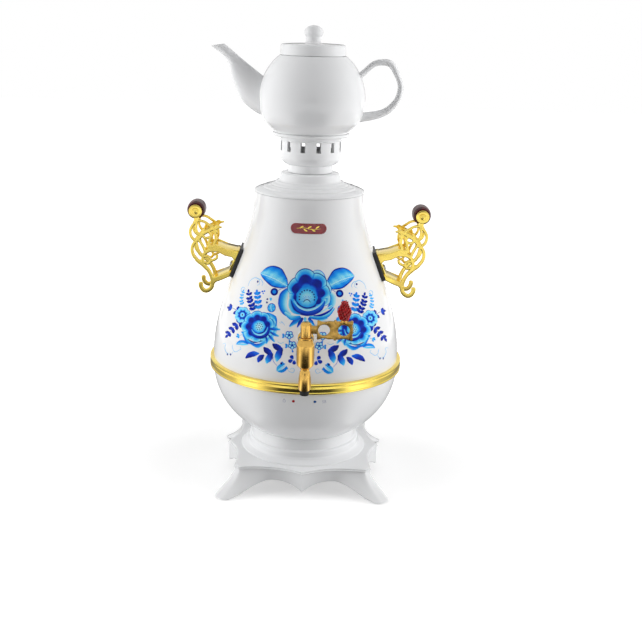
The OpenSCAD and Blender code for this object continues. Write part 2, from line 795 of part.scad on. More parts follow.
module tap_body() {
    color(brass) difference() {
        union() {
            at_tap() rotate_extrude() polygon([
                [0, nozzle_end], [5, nozzle_end], [5.7, nozzle_end + 1], [6.1, nozzle_end + 3],
                [6.2, nozzle_end + 6], [6.05, nozzle_end + 11], [5.6, nozzle_end + 16],
                [5.1, nozzle_end + 19], [4.3, tap_z - 17.6], [4.2, tap_z - 16.6], [5.2, tap_z - 15.7],
                [7, tap_z - 14], [barrel_r - 0.5, tap_z - 11.5], [barrel_r, tap_z - 7.5],
                [barrel_r, tap_z + 8], [barrel_r - 0.4, tap_z + 9.8],
                [barrel_r - 1.9, tap_z + barrel_up - 0.6], [barrel_r - 2.3, tap_z + barrel_up],
                [0, tap_z + barrel_up]]);
            translate([0, 0, tap_z]) {
                along_y(-tap_reach, seal_face_y + nut_t + 3) circle(pipe_r);
                along_y(collar_y - collar_t, collar_y) circle(collar_r);
            }
        }
        at_tap() {
            rod(plug_r + plug_gap, plug_low, tap_z + barrel_up + 1);
            rod(outlet_r, nozzle_end - 1, plug_low + 1);
        }
        translate([0, 0, tap_z]) along_y(-tap_reach, 0) circle(water_r);
    }
}

// Soft rings that seal the tap's pipe: outside the shell, between the walls and inside the tank
module tap_seals() {
    color(silicone) {
        seal_part(collar_y) shell_solid();
        intersection() {
            seal_part(collar_y) tank_solid(0);
            shell_hollow();
        }
        intersection() {
            seal_tube(collar_y, seal_face_y);
            tank_solid(tank_t);
        }
    }
}
module seal_tube(y0, y1) {
    translate([0, 0, tap_z]) along_y(y0, y1) difference() {
        circle(collar_r);
        circle(pipe_r);
    }
}
module seal_part(y0) {
    difference() {
        seal_tube(y0, 0);
        children();
    }
}

module tap_nut() {
    color(brass) translate([0, seal_face_y + nut_t, tap_z]) rotate([90, 0, 0]) difference() {
        hex_nut(19, nut_t);
        translate([0, 0, -1]) cylinder(r = pipe_r, h = nut_t + 2);
    }
}

gland_flange = 1.4;
module tap_gland() {
    color(brass) at_tap() difference() {
        union() {
            rod(plug_r + plug_gap, plug_top + 0.3, tap_z + barrel_up);
            rod(plug_r + 0.5, tap_z + barrel_up, tap_z + barrel_up + gland_flange);
        }
        rod(stem_r + plug_gap, 0, tap_z + barrel_up + 5);
    }
}

head_z0 = tap_z + barrel_up + gland_flange + lift_gap;
head_l = 15.5;
key_head_r = 5.3;
plate_z = head_z0 + head_l / 2;
groove_r = 0.8;
seal_zs = [plug_low + 2.5, plug_top - 2];
module tap_key() {
    color(brass) at_tap() difference() {
        rotate_extrude() polygon([
            [0, plug_low + 0.3], [plug_r, plug_low + 0.3], [plug_r, plug_top],
            [stem_r, plug_top], [stem_r, head_z0], [key_head_r - 0.5, head_z0],
            [key_head_r, head_z0 + 0.5], [key_head_r, head_z0 + head_l - 2.4],
            [key_head_r * 0.86, head_z0 + head_l - 1], [key_head_r * 0.5, head_z0 + head_l - 0.2],
            [0, head_z0 + head_l]]);
        // Water comes in from one side and leaves through the bottom
        translate([-plug_r - 1, 0, tap_z]) rotate([0, 90, 0]) cylinder(r = outlet_r, h = plug_r + 1);
        rod(outlet_r, 0, tap_z);
        for (z = seal_zs) translate([0, 0, z]) rotate_extrude()
            translate([plug_r - groove_r + plug_gap, 0]) circle(groove_r);
        // Slot for the plate
        translate([1, -key_t / 2, plate_z - plate_neck / 2]) cube([key_head_r, key_t, plate_neck]);
    }
}

module plug_seals() {
    color(black) at_tap() for (z = seal_zs) translate([0, 0, z]) rotate_extrude()
        translate([plug_r - groove_r, 0]) circle(groove_r - 0.05);
}

plate_neck = 7.5;
plate_x = 10.6;               // where the plate widens from its neck
plate_half_h = 8.8;
hole_from_end = 8.8;
hole_pitch = 19;
lobe_2 = key_l - hole_from_end;
lobe_1 = lobe_2 - hole_pitch;
stalk_foot = 3.4;
bead_stalk = 1.6;
bead_z0 = plate_z + plate_half_h + 1.6;
module key_plate() {
    color(brass) at_tap() {
        translate([0, 0, plate_z]) along_y(-key_t / 2, key_t / 2) key_outline();
        // Stalk that the bead is pressed on
        translate([lobe_2, 0, 0]) {
            rod(stalk_foot, plate_z + plate_half_h - 1.2, bead_z0);
            rod(bead_stalk, bead_z0, bead_z0 + bead_h * 0.7);
        }
    }
}
module key_outline() {
    middle = (plate_x + key_l) / 2;
    offset(r = -0.6, $fn = 16) offset(delta = 0.6) difference() {
        union() {
            translate([plate_x, -plate_half_h]) square([key_l - plate_x, 2 * plate_half_h]);
            translate([1, -plate_neck / 2]) square([plate_x, plate_neck]);
            for (y = [-1, 1]) {
                translate([middle, y * plate_half_h]) circle(1.3, $fn = 12);
                for (x = [plate_x + 1.5, key_l - 1.5])
                    translate([x, y * (plate_half_h - 0.5)]) circle(1.5, $fn = 12);
            }
        }
        // Shallow scoops along the edges
        for (x = [lobe_1, lobe_2], y = [-1, 1])
            translate([x, y * (plate_half_h + 9.2)]) circle(10, $fn = 48);
        for (y = [-1, 1]) translate([key_l + 5, y * 4.6]) circle(5.6, $fn = 24);
        for (x = [lobe_1, lobe_2]) translate([x, 0]) circle(5.7, $fn = 32);
    }
}

bead_rows = 6;
module key_bead() {
    color(red) at_tap() translate([lobe_2, 0, bead_z0]) difference() {
        rotate_extrude() polygon(concat([[0, 0]],
            [for (i = [0:bead_rows - 1], s = [0.1, 0.85])
                let (t = (i + s) / bead_rows) [bead_r * bead_share(t) * (s < 0.5 ? 1 : 0.9), bead_h * t]],
            [[1, bead_h], [0, bead_h]]));
        translate([0, 0, -1]) cylinder(r = bead_stalk, h = bead_h * 0.7 + 1);
    }
}
// Width of the bead at a share of its height
function bead_share(t) = lookup(t, [[0, 0.58], [0.2, 0.84], [0.43, 1], [0.6, 0.83], [0.8, 0.5], [1, 0.38]]);

module nozzle_tip() {
    color(black) at_tap() {
        ring(4.5, outlet_r - 0.6, nozzle_end - tip_l, nozzle_end);
    }
}

// ---------- Cap and crown ----------

collar_in = 1.2;      // gap between the cap's collar and the tank's mouth
collar_deep = 9;
cap_collar_r = top_r - tank_gap - tank_t - collar_in;
seal_deep = 5;
spigot_h = 7;
spigot_wall = 2.5;
spigot_r = crown_neck_r - crown_wall - slip_gap;

// Steps of the cap's outside: share of the way out to the rim, share of the height
cap_steps = [[0, 1], [0.13, 1], [0.2, 0.95], [0.235, 0.8], [0.262, 0.62], [0.3, 0.55], [0.34, 0.54],
             [0.39, 0.46], [0.47, 0.41], [0.5, 0.36], [0.56, 0.35], [0.62, 0.3], [0.72, 0.27],
             [0.75, 0.21], [0.83, 0.19], [0.93, 0.13], [0.985, 0.08], [1, 0.02], [1, 0]];
function cap_point(p, in = 0) =
    [crown_neck_r + (top_r - crown_neck_r) * p[0] - in, cap_z0 + cap_h * p[1] - in];

module cap() {
    inner_top = cap_top - cap_wall;
    color(white) rotate_extrude() polygon(concat(
        [[spigot_r - spigot_wall, cap_top + spigot_h], [spigot_r, cap_top + spigot_h],
         [spigot_r, cap_top]],
        [for (p = cap_steps) cap_point(p)],
        [[cap_collar_r, cap_z0], [cap_collar_r, cap_z0 - collar_deep],
         [cap_collar_r - cap_wall, cap_z0 - collar_deep], [cap_collar_r - cap_wall, cap_z0 + 1.5],
         [spigot_r + 6, inner_top - 1], [spigot_r - spigot_wall, inner_top]]));
}

// Soft ring that keeps the cap centred in the tank's mouth
module cap_seal() {
    color(silicone) ring(cap_collar_r + collar_in - slip_gap, cap_collar_r,
                         tank_flange_z + tank_t - seal_deep, cap_z0);
}

seat_t = 3.4;
seat_lip_h = 2.2;
shoulder_h = crown_h * 0.42;    // height at which the crown reaches its full radius
foot_in = 5;                    // width of the teapot's foot ring
slot_z = crown_z0 + crown_h - seat_t - 4.6 - slot_h;
crown_steps = 8;

function crown_out(t) = [crown_neck_r + (crown_r - crown_neck_r) * sin(90 * t),
                         crown_z0 + shoulder_h - (shoulder_h - 8) * cos(90 * t)];
module crown() {
    lip_r = pot_foot_r - foot_in - slip_gap - 0.3;
    color(white) difference() {
        rotate_extrude() polygon(concat(
            [[crown_neck_r - crown_wall, crown_z0], [crown_neck_r, crown_z0]],
            [for (i = [0:crown_steps]) crown_out(i / crown_steps)],
            [[crown_r, crown_top - seat_t - 1], [crown_r + 2, crown_top - seat_t],
             [seat_r - 0.8, crown_top - seat_t], [seat_r, crown_top - seat_t + 0.8],
             [seat_r, crown_top - 0.6], [seat_r - 0.6, crown_top],
             [lip_r, crown_top], [lip_r, crown_top + seat_lip_h],
             [lip_r - 2, crown_top + seat_lip_h], [crown_r - crown_wall - 1, crown_top - seat_t],
             [crown_r - crown_wall, crown_top - seat_t - 2],
             [crown_r - crown_wall, crown_z0 + shoulder_h],
             [crown_neck_r - crown_wall + 4, crown_z0 + 9.5],
             [crown_neck_r - crown_wall, crown_z0 + 8]]));
        for (i = [0:slot_count - 1]) rotate(360 * (i + 0.5) / slot_count - 90)
            translate([crown_neck_r - 2, -slot_w / 2, slot_z]) cube([crown_r, slot_w, slot_h]);
    }
}

// ---------- Teapot ----------

foot_h = 2.2;         // height of the hollow under the teapot
foot_top = pot_mid_z - sqrt(pow(pot_r, 2) - pow(pot_foot_r + 10.5, 2));
pot_steps = 18;
floor_z = pot_z0 + foot_h + pot_wall;

function pot_arc(r, z0, z1) =
    let (a0 = asin((z0 - pot_mid_z) / r), a1 = asin((z1 - pot_mid_z) / r))
    [for (i = [0:pot_steps]) let (a = a0 + (a1 - a0) * i / pot_steps)
        [r * cos(a), pot_mid_z + r * sin(a)]];

// Sections of the spout: its lower point, its upper point and its half width
spout = [
    [[-pot_r + 18, -18], [-pot_r + 18, 20], 13.5],
    [[-pot_r + 5.5, -19.5], [-pot_r + 5, 21], 14],
    [[-pot_r - 15, -6.5], [-pot_r + 6.5, 19.8], 11.5],
    [[-pot_r - 26.7, 15.7], [-pot_r - 12.2, 33.8], 7.8],
    [[-pot_r - 33.6, 37], [-pot_r - 26.8, 45.4], 5.4],
    [[-pot_r - 49.6, 50.4], [-pot_r - 35.7, 52.6], 5.6]];
spout_wall = 2.1;
spout_sides = 14;

function spout_rings(cut) =
    let (low = curve([for (s = spout) s[0]], 4), up = curve([for (s = spout) s[1]], 4),
         half = curve([for (s = spout) [s[2], 0]], 4), n = len(low))
    [for (i = [0:n - 1])
        let (mid = (low[i] + up[i]) / 2, arm = (up[i] - low[i]) / 2,
             k = 1 - cut / norm(arm), extra = cut > 0 && i == n - 1 ? 1.5 : 0)
        [for (j = [0:spout_sides - 1]) let (a = 360 * j / spout_sides)
            [mid[0] + arm[0] * k * cos(a), (half[i][0] - cut) * sin(a),
             pot_mid_z + mid[1] + arm[1] * k * cos(a) + extra]]];

// Middle line of the teapot's handle, with its half thickness and half width
pot_handle = [
    [pot_r - 10, 20.5, 3.4, 6], [pot_r - 1.3, 28.3, 3, 5.6], [pot_r + 7.1, 35.8, 3, 5.4],
    [pot_r + 15.4, 38, 3.2, 5.4], [pot_r + 24.4, 35.6, 4.6, 5.2], [pot_r + 32.8, 23.6, 3, 5],
    [pot_r + 36, 13.6, 3, 4.9], [pot_r + 33.9, 2, 3.2, 4.9], [pot_r + 26, -8.4, 3.6, 5],
    [pot_r + 16.2, -14, 4, 5.4], [pot_r + 5, -16.6, 4.6, 5.8], [pot_r - 7, -18.6, 5, 6.2]];
handle_sides = 12;

function pot_handle_rings() =
    let (c = curve(pot_handle, 3), mid = [for (q = c) [q[0], q[1]]])
    [for (i = [0:len(c) - 1])
        let (t = tangent(mid, i))
        [for (j = [0:handle_sides - 1]) let (a = 360 * j / handle_sides)
            [mid[i][0] - t[1] * c[i][2] * cos(a), c[i][3] * sin(a),
             pot_mid_z + mid[i][1] + t[0] * c[i][2] * cos(a)]]];

mouth_r = lid_r - 3.4;
module pot_hollow() {
    r = pot_r - pot_wall;
    rotate_extrude() polygon(concat(
        [[0, floor_z], [pot_foot_r - pot_wall - 1, floor_z]],
        pot_arc(r, foot_top + 2, mouth_z - pot_wall - 1),
        [[mouth_r, mouth_z - pot_wall], [mouth_r, mouth_z + 1], [0, mouth_z + 1]]));
}

module teapot() {
    color(white) difference() {
        union() {
            rotate_extrude() polygon(concat(
                [[0, pot_z0 + foot_h], [pot_foot_r - foot_in, pot_z0 + foot_h],
                 [pot_foot_r - foot_in, pot_z0], [pot_foot_r, pot_z0]],
                pot_arc(pot_r, foot_top, mouth_z), [[0, mouth_z]]));
            skin(reversed(spout_rings(0)));
            skin(pot_handle_rings());
        }
        pot_hollow();
        skin(reversed(spout_rings(spout_wall)));
    }
}

lid_wall = 3;
lid_tongue = 6;
module teapot_lid() {
    color(white) difference() {
        rotate_extrude() polygon(concat(
            [[lid_r, lid_z0], [lid_r, lid_top - 1.6], [lid_r - 0.6, lid_top - 0.5], [lid_r - 2, lid_top]],
            [for (i = [1:4]) [lid_r - 2 - (lid_r - 10.5) * i / 4, lid_top + 0.9 * sin(22.5 * i)]],
            [[knob_r - 1.9, lid_top + 1.6]],
            [for (a = [-38:16:90]) [max(0, knob_r * cos(a)),
                                    lid_top + knob_h * 0.62 + knob_h * 0.38 * sin(a)]],
            [[0, lid_top + knob_h], [0, lid_top - lid_wall], [mouth_r - slip_gap - 2.4, lid_top - lid_wall],
             [mouth_r - slip_gap - 2.4, lid_z0 - lid_tongue], [mouth_r - slip_gap, lid_z0 - lid_tongue],
             [mouth_r - slip_gap, lid_z0]]));
        // Hole that lets the steam out
        translate([0, lid_r - 14, 0]) rod(1.2, lid_top - lid_wall - 1, lid_top + 3);
    }
}

// ---------- Side handles ----------

handle_z = belt_z1 + handle_rise;
handle_x = shell_r(handle_z);
lean = atan((shell_r(handle_z - 1) - shell_r(handle_z + 1)) / 2);
eye = [43.8, 55];
mount_screw_r = 2;
screw_step = 6;
back_t = 2.5;         // thickness of the bracket against the pad
band_t = 2.6;         // thickness of the bracket's two bands

// The pad's frame: Z points out of the shell and X runs down along it
module side_frame(side) {
    mirror([side < 0 ? 1 : 0, 0, 0]) translate([handle_x, 0, handle_z]) rotate([0, 90 - lean, 0]) children();
}
// The scrolls' frame: flat outlines in X and Z, from the pad's middle
module scroll_frame(side, y0, y1) {
    mirror([side < 0 ? 1 : 0, 0, 0]) translate([handle_x, 0, handle_z]) along_y(y0, y1) children();
}
module screw_places() {
    for (x = [-screw_step, screw_step]) translate([x, 0, 0]) children();
}
// Everything behind the pad's outer face
module behind_pad() {
    rotate(lean) translate([-60, -60]) square([60 + pad_t, 120]);
}

module insulating_pad(side) {
    color(black) difference() {
        side_frame(side) translate([0, 0, -12]) linear_extrude(12 + pad_t) round_rect(pad_l, pad_w, 3);
        shell_solid();
        side_frame(side) screw_places() rod(mount_screw_r + screw_gap, -30, 10);
    }
}

module handle_bracket(side) {
    color(gold) difference() {
        scroll_frame(side, -handle_gap / 2, handle_gap / 2)
            offset(r = -0.4, $fn = 8) offset(delta = 0.4) difference() {
                union() {
                    stroke([[-4, 11.3], [10.4, 13.7], [17, 16], [24, 17.8]], band_t, band_t);
                    stroke([[3, -9.4], [10, -11.8], [17.5, -15], [24, -18]], band_t, band_t);
                    rotate(lean) translate([pad_t - 1, -13]) square([back_t + 1, 26]);
                }
                behind_pad();
            }
        side_frame(side) screw_places() rod(mount_screw_r + screw_gap, -30, 10);
    }
}

module scroll_outline() {
    offset(r = -0.5, $fn = 8) offset(delta = 0.5) difference() {
        union() {
            translate(eye) circle(6.6, $fn = 40);
            // Neck and the outer lobes
            stroke([eye, [42.7, 46.3], [43.2, 42.2]], 6, 3.4);
            stroke([[43.2, 43.4], [46.9, 39.6], [49.1, 35], [49.2, 30.4], [47.2, 26], [43, 22.8]],
                   2.2, 2.4);
            stroke([[43.6, 23], [46.7, 18], [47.4, 12.6], [45.8, 7.2], [42, 2.4]], 2.6, 3);
            // Inner strokes of the lobes
            stroke([[42, 43.4], [43.1, 38.2], [42.6, 33.6], [40.3, 30], [37.4, 28.6]], 1.7, 2.2);
            stroke([[42.6, 21.5], [41, 14.2], [38.4, 9.2], [35.6, 5.4]], 1.8, 2.2);
            stroke([[40.6, 24.4], [36.4, 18.6], [33.6, 11.2]], 2, 2.4);
            // Leaf band with its tip
            stroke([[43.4, 22.6], [40, 26.2], [37.4, 29.6], [34.2, 32], [29, 35], [22.4, 38]], 3.6, 3.6);
            stroke([[35.6, 31.4], [35.5, 34], [35.1, 37]], 4.2, 0.9);
            stroke([[41, 44.8], [35, 44.1], [30, 41], [26.2, 38.4]], 1.9, 2.2);
            // Ball with two thorns
            translate([21.8, 38]) circle(2.6, $fn = 20);
            stroke([[21.8, 38], [16, 38.6]], 2, 0.9);
            stroke([[23, 36], [20.7, 32.2]], 2, 0.9);
            // Ladder of small loops down to the upper arm
            stroke([[30.4, 34.6], [27.6, 29.6], [29.2, 22.6], [29.6, 16]], 2, 2.4);
            stroke([[24.6, 36.6], [22.6, 30.4], [22.2, 25], [23.8, 20]], 2.2, 2.6);
            stroke([[36.4, 29], [33.2, 26.4], [28.6, 27.4]], 2, 2);
            stroke([[29.6, 18.4], [26.4, 17.4], [23, 18.2]], 2.6, 2.6);
            // Upper arm
            polygon([[30, 16.8], [23.5, 20.4], [10.4, 15], [-8, 11.4], [-8, 3.6], [3.2, 3.8],
                     [5.4, 6.4], [12.8, 7.8], [20.2, 11.8], [28.6, 11.2]]);
            // Ring and curl under the upper arm
            stroke([[35.4, -1], [36.2, 4], [34.6, 9], [30, 12.6], [26.3, 13.6]], 2.6, 3.4);
            stroke([[34, 0], [30.4, -1.4], [27.6, 1.4], [24.6, 2.8], [21.6, 4.6], [20.8, 7.8]],
                   1.9, 2.2);
            stroke([[35, 6], [31.4, 6.6], [28.4, 4.4], [27.8, 1.6]], 1.9, 1.9);
            // Stem and hook
            stroke([[43, 3], [40, 0.4], [36, -2.3], [30.6, -7.8], [27, -14.6], [25.6, -21.5],
                    [27, -27.6], [31.2, -31], [35.2, -30.6], [37.8, -27], [38.4, -22.8]], 3.2, 4.2);
            stroke([[40, 1], [36, -2.3], [31, -7.4]], 4.6, 3.6);
            // Lower arm
            polygon([[27.5, -14], [24.4, -16.2], [17.7, -13.6], [6, -9], [0, -6.6], [-2, -12], [7, -14.8],
                     [15.6, -18.8], [21.8, -21.2], [25, -25], [28, -22]]);
        }
        behind_pad();
    }
}

module scroll_plate(side, face) {
    y0 = face < 0 ? -handle_gap / 2 - scroll_t : handle_gap / 2;
    color(gold) difference() {
        scroll_frame(side, y0, y0 + scroll_t) scroll_outline();
        grip_axis(side) cylinder(r = bolt_r + screw_gap, h = 4 * handle_gap, center = true);
    }
}

module grip_axis(side) {
    translate([side * (handle_x + eye[0]), 0, handle_z + eye[1]]) rotate([90, 0, 0]) children();
}

grip_end_r = 7.6;
grip_steps = 12;
module grip(side) {
    half = handle_gap / 2;
    color(wood) grip_axis(side) difference() {
        rotate_extrude() polygon(concat([[0, -half]],
            [for (i = [0:grip_steps]) let (t = 2 * i / grip_steps - 1)
                [grip_end_r + (grip_r - grip_end_r) * sqrt(1 - t * t)
                 - (i == 2 || i == grip_steps - 2 ? 0.5 : 0), half * t]],
            [[0, half]]));
        cylinder(r = bolt_r + screw_gap, h = 2 * handle_gap, center = true);
    }
}

washer_t = 1.2;
module washers(side) {
    out = handle_gap / 2 + scroll_t;
    color(gold) grip_axis(side) {
        ring(washer_r, bolt_r + screw_gap, out, out + washer_t);
        ring(washer_r, bolt_r + screw_gap, -out - washer_t, -out);
    }
}

module grip_bolt(side) {
    out = handle_gap / 2 + scroll_t + washer_t;
    color(gold) grip_axis(side) {
        rod(bolt_r, -out, out);
        // Domed head at the front and a cap nut at the back
        translate([0, 0, out]) rotate_extrude()
            polygon([[0, 0], [3.4, 0], [3.3, 0.8], [2.6, 1.7], [1.4, 2.3], [0, 2.5]]);
        translate([0, 0, -out]) rotate_extrude()
            polygon([[0, 0], [3.6, 0], [3.6, -2.2], [2.8, -3.4], [1.4, -4.2], [0, -4.4]]);
    }
}

module mount_screws(side) {
    inner = -wall * cos(lean) - 0.15;
    color(steel) side_frame(side) screw_places() {
        rod(mount_screw_r, inner - 3.6, pad_t + back_t);
        translate([0, 0, pad_t + back_t]) rotate_extrude()
            polygon([[0, 0], [3.6, 0], [3.4, 1], [2.4, 1.9], [0, 2.3]]);
        translate([0, 0, inner - 3]) difference() {
            hex_nut(7, 3);
            translate([0, 0, -1]) cylinder(r = mount_screw_r + 0.05, h = 5);
        }
    }
}

base_pedestal();
rubber_pads();
bottom_cover();
cover_screws();
column();
bowl_shell();
belt();
body_shell();
plaque();
water_tank();
heater();
thermostat();
thermal_fuse();
tie_rods();
tie_nuts();
lamp_board();
red_lamp();
blue_lamp();
power_inlet();
inlet_pins();
switch_housing();
switch_rocker();
wiring();
tap_body();
tap_seals();
tap_nut();
tap_gland();
tap_key();
plug_seals();
key_plate();
key_bead();
nozzle_tip();
cap();
cap_seal();
crown();
teapot();
teapot_lid();
insulating_pad(-1);  // left_pad
handle_bracket(-1);  // left_bracket
scroll_plate(-1, -1);  // left_front_scroll
scroll_plate(-1, 1);  // left_rear_scroll
grip(-1);  // left_grip
washers(-1);  // left_washers
grip_bolt(-1);  // left_grip_bolt
mount_screws(-1);  // left_screws
insulating_pad(1);  // right_pad
handle_bracket(1);  // right_bracket
scroll_plate(1, -1);  // right_front_scroll
scroll_plate(1, 1);  // right_rear_scroll
grip(1);  // right_grip
washers(1);  // right_washers
grip_bolt(1);  // right_grip_bolt
mount_screws(1);  // right_screws
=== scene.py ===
"""Electric samovar with a porcelain teapot, dressed for its packed frame.

Lengths in the pieces are worked out in millimetres, from the frame's own boxes, and
become metres where a mesh is made.
"""

import math
from contextlib import contextmanager
from functools import partial

import bmesh
import bpy
import numpy as np
from mathutils import Matrix, Vector


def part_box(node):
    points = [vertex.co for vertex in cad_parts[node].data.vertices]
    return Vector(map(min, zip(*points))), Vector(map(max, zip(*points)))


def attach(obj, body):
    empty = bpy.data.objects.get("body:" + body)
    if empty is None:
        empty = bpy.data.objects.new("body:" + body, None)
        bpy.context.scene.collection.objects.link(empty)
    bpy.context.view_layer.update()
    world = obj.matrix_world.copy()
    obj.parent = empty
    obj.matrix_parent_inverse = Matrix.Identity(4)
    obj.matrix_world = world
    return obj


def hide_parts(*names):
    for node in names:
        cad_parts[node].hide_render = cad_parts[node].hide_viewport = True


bl_info = {
    "name": "Painted samovar",
    "version": (1, 0, 0),
    "blender": (4, 5, 0),
    "location": "3D View > Sidebar > Samovar",
    "description": "Builds the visible pieces of an electric samovar with a teapot around its frame",
    "category": "Add Mesh",
}

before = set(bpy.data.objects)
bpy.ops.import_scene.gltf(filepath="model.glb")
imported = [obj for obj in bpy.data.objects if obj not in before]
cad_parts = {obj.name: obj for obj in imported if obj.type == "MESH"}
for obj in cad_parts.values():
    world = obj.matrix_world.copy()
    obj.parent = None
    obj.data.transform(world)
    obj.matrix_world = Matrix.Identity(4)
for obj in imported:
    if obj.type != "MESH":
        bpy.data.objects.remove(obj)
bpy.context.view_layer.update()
MM = 0.001
# Distances in metres: doubles in a new mesh, corners that a cut leaves apart, and doubles in a frame node's mesh
DOUBLE, HAIR, FRAME_DOUBLE = 1e-7, 1.5e-6, 2e-6


def low(name):
    """Lowest corner of a frame node, in millimetres."""
    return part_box(name)[0] / MM


def high(name):
    """Highest corner of a frame node, in millimetres."""
    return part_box(name)[1] / MM


def centre(name):
    """Middle of a frame node along X, Y and Z, in millimetres."""
    return [(a + b) / 2 for a, b in zip(low(name), high(name))]


# ---------- Sizes taken from the frame, in millimetres ----------

BASE_H = high("base_pedestal").z
PAD_H = low("base_pedestal").z
BOWL_FOOT = low("bowl_shell").z
BELT_Z0, BELT_Z1 = low("belt").z, high("belt").z
BELT_R = high("belt").x
WEB_Z = low("body_shell").z
SHELL_TOP = high("body_shell").z
SHELL_H = SHELL_TOP - BELT_Z1
BODY_R = high("body_shell").x
BOWL_MID = BELT_Z0 + 2
CAP_Z0, CROWN_Z0 = SHELL_TOP + 0.3, low("crown").z
CAP_TOP = CROWN_Z0 - 0.3
SEAT_R = high("crown").x
POT_Z0 = low("teapot").z
CROWN_TOP = POT_Z0 - 0.3
POT_MID = POT_Z0 + 34.3
LID_TOP_KNOB = high("teapot_lid").z
TAP_Y = centre("key_bead")[1]
TAP_Z = BELT_Z1 + 48
NOZZLE_END = low("tap_body").z
HANDLE_Z = BELT_Z1 + 104
WORDS = {-1: "left", 1: "right"}
AT_TAP = Matrix.Translation((0, TAP_Y, 0))


# ---------- What a user would change ----------


def number(name, description, default, least, most, **kind):
    return bpy.props.FloatProperty(name=name, description=description, default=default, min=least, max=most,
                                   **kind)


def length(name, description, default, least, most):
    return number(name, description, default, least, most, unit="LENGTH", subtype="DISTANCE")


def tint(name, description, default):
    return bpy.props.FloatVectorProperty(name=name, description=description, default=default, size=3, min=0.0,
                                         max=1.0, subtype="COLOR_GAMMA")


class ShellLook(bpy.types.PropertyGroup):
    """Upper shell and bowl."""

    top_radius: length("Top radius", "Outer radius at the top of the upper shell", 0.0583, 0.05, 0.065)
    pull: number("Pull", "How far up the upper shell's curve is pulled", 1.06, 1.0, 1.15)
    bowl_depth: length("Bowl depth", "Depth of the ellipse that the bowl follows", 0.086, 0.08, 0.094)
    glaze: tint("Glaze", "Colour of the white glaze", (0.955, 0.957, 0.96))
    moulding: tint("Moulding", "Colour of the white mouldings", (0.945, 0.948, 0.952))


class PaintLook(bpy.types.PropertyGroup):
    """Blue painting on the shell."""

    thickness: length("Thickness", "How far one brush stroke stands out over the one below", 0.000012, 0.000005,
                      0.0001)
    deep: tint("Deep blue", "Colour where the brush leaves the most paint", (0.0, 0.09, 0.48))
    pale: tint("Pale blue", "Colour where the paint is thinned most", (0.78, 0.95, 1.0))


class MetalLook(bpy.types.PropertyGroup):
    """Gold plating and brass."""

    gold: tint("Gold", "Colour of the gold plating", (1.0, 0.87, 0.43))
    brass: tint("Brass", "Colour of the tap's brass", (0.90, 0.72, 0.38))
    roughness: number("Roughness", "Roughness of the gold plating", 0.13, 0.0, 1.0, subtype="FACTOR")


class GripLook(bpy.types.PropertyGroup):
    """Wooden grips."""

    wood: tint("Wood", "Colour of the lacquered wood", (0.30, 0.05, 0.08))
    waist: length("End radius", "Radius of a grip at its ends", 0.0076, 0.007, 0.0099)


class PotLook(bpy.types.PropertyGroup):
    """Teapot and crown."""

    wall: length("Wall", "Wall of the teapot", 0.0032, 0.0026, 0.004)
    slots: bpy.props.IntProperty(
        name="Slots", description="Number of slots around the crown", default=12, min=8, max=14)


class StageLook(bpy.types.PropertyGroup):
    """Floor, lights and camera."""

    key: number("Key light", "Power of each large light at the side, in watts", 18.0, 0.0, 100.0, subtype="POWER")
    fill: number("Fill", "Strength of the light from all around", 0.18, 0.0, 2.0)
    tilt: number("Camera tilt", "How far the camera looks down", math.radians(16.2), 0.0, 1.5,
                 subtype="ANGLE", unit="ROTATION")
    roll: number("Camera roll", "How far the camera leans about its own view", math.radians(1.5), -0.2, 0.2,
                 subtype="ANGLE", unit="ROTATION")
    lens: number("Lens", "Focal length of the camera", 58.9, 20.0, 200.0, unit="CAMERA")
    shift: number("Shift", "How far the picture is shifted sideways, as a share of its width", 0.023, -0.5, 0.5)


# ---------- Colours and nodes ----------


def linear(colour):
    """sRGB hex text, or three sRGB shares, as a linear colour."""
    if isinstance(colour, str):
        colour = [int(colour[i:i + 2], 16) / 255 for i in (1, 3, 5)]
    return [c / 12.92 if c <= 0.04045 else ((c + 0.055) / 1.055) ** 2.4 for c in colour] + [1.0]


def link(tree, source, target, name):
    """Links an output, or a node's first one, to an input."""
    tree.links.new(source.outputs[0] if isinstance(source, bpy.types.Node) else source, target.inputs[name])


def node(tree, kind, values=None, **settings):
    """Adds one node, with its settings, and its inputs' values or links."""
    made = tree.nodes.new(kind)
    for key, value in settings.items():
        setattr(made, key, value)
    for key, value in (values or {}).items():
        if isinstance(value, (bpy.types.Node, bpy.types.NodeSocket)):
            link(tree, value, made, key)
        else:
            made.inputs[key].default_value = value
    return made


def math_node(tree, operation, a, b=0.0, c=0.0):
    return node(tree, "ShaderNodeMath", {0: a, 1: b, 2: c}, operation=operation)


def map_range(tree, value, low_end, high_end, low_to=0.0, high_to=1.0):
    return node(tree, "ShaderNodeMapRange", {"Value": value, "From Min": low_end, "From Max": high_end,
                                             "To Min": low_to, "To Max": high_to})


def xyz(tree, x=0.0, y=0.0, z=0.0):
    return node(tree, "ShaderNodeCombineXYZ", {"X": x, "Y": y, "Z": z})


def parts_of(tree, vector):
    """X, Y and Z of a vector, as outputs."""
    return node(tree, "ShaderNodeSeparateXYZ", {"Vector": vector}).outputs


def object_place(tree):
    """Object coordinates."""
    return node(tree, "ShaderNodeTexCoord").outputs["Object"]


def ramp(tree, value, stops):
    """A Color Ramp over a value, from its stops: places and linear colours."""
    made = node(tree, "ShaderNodeValToRGB", {"Fac": value})
    elements = made.color_ramp.elements
    while len(elements) > 1:
        elements.remove(elements[0])
    for i, (place, colour) in enumerate(stops):
        element = elements[0] if i == 0 else elements.new(place)
        element.position, element.color = place, colour
    return made


def emptied(owner):
    """The node tree of a material or a world, with nothing in it."""
    owner.use_nodes = True
    owner.node_tree.nodes.clear()
    return owner.node_tree


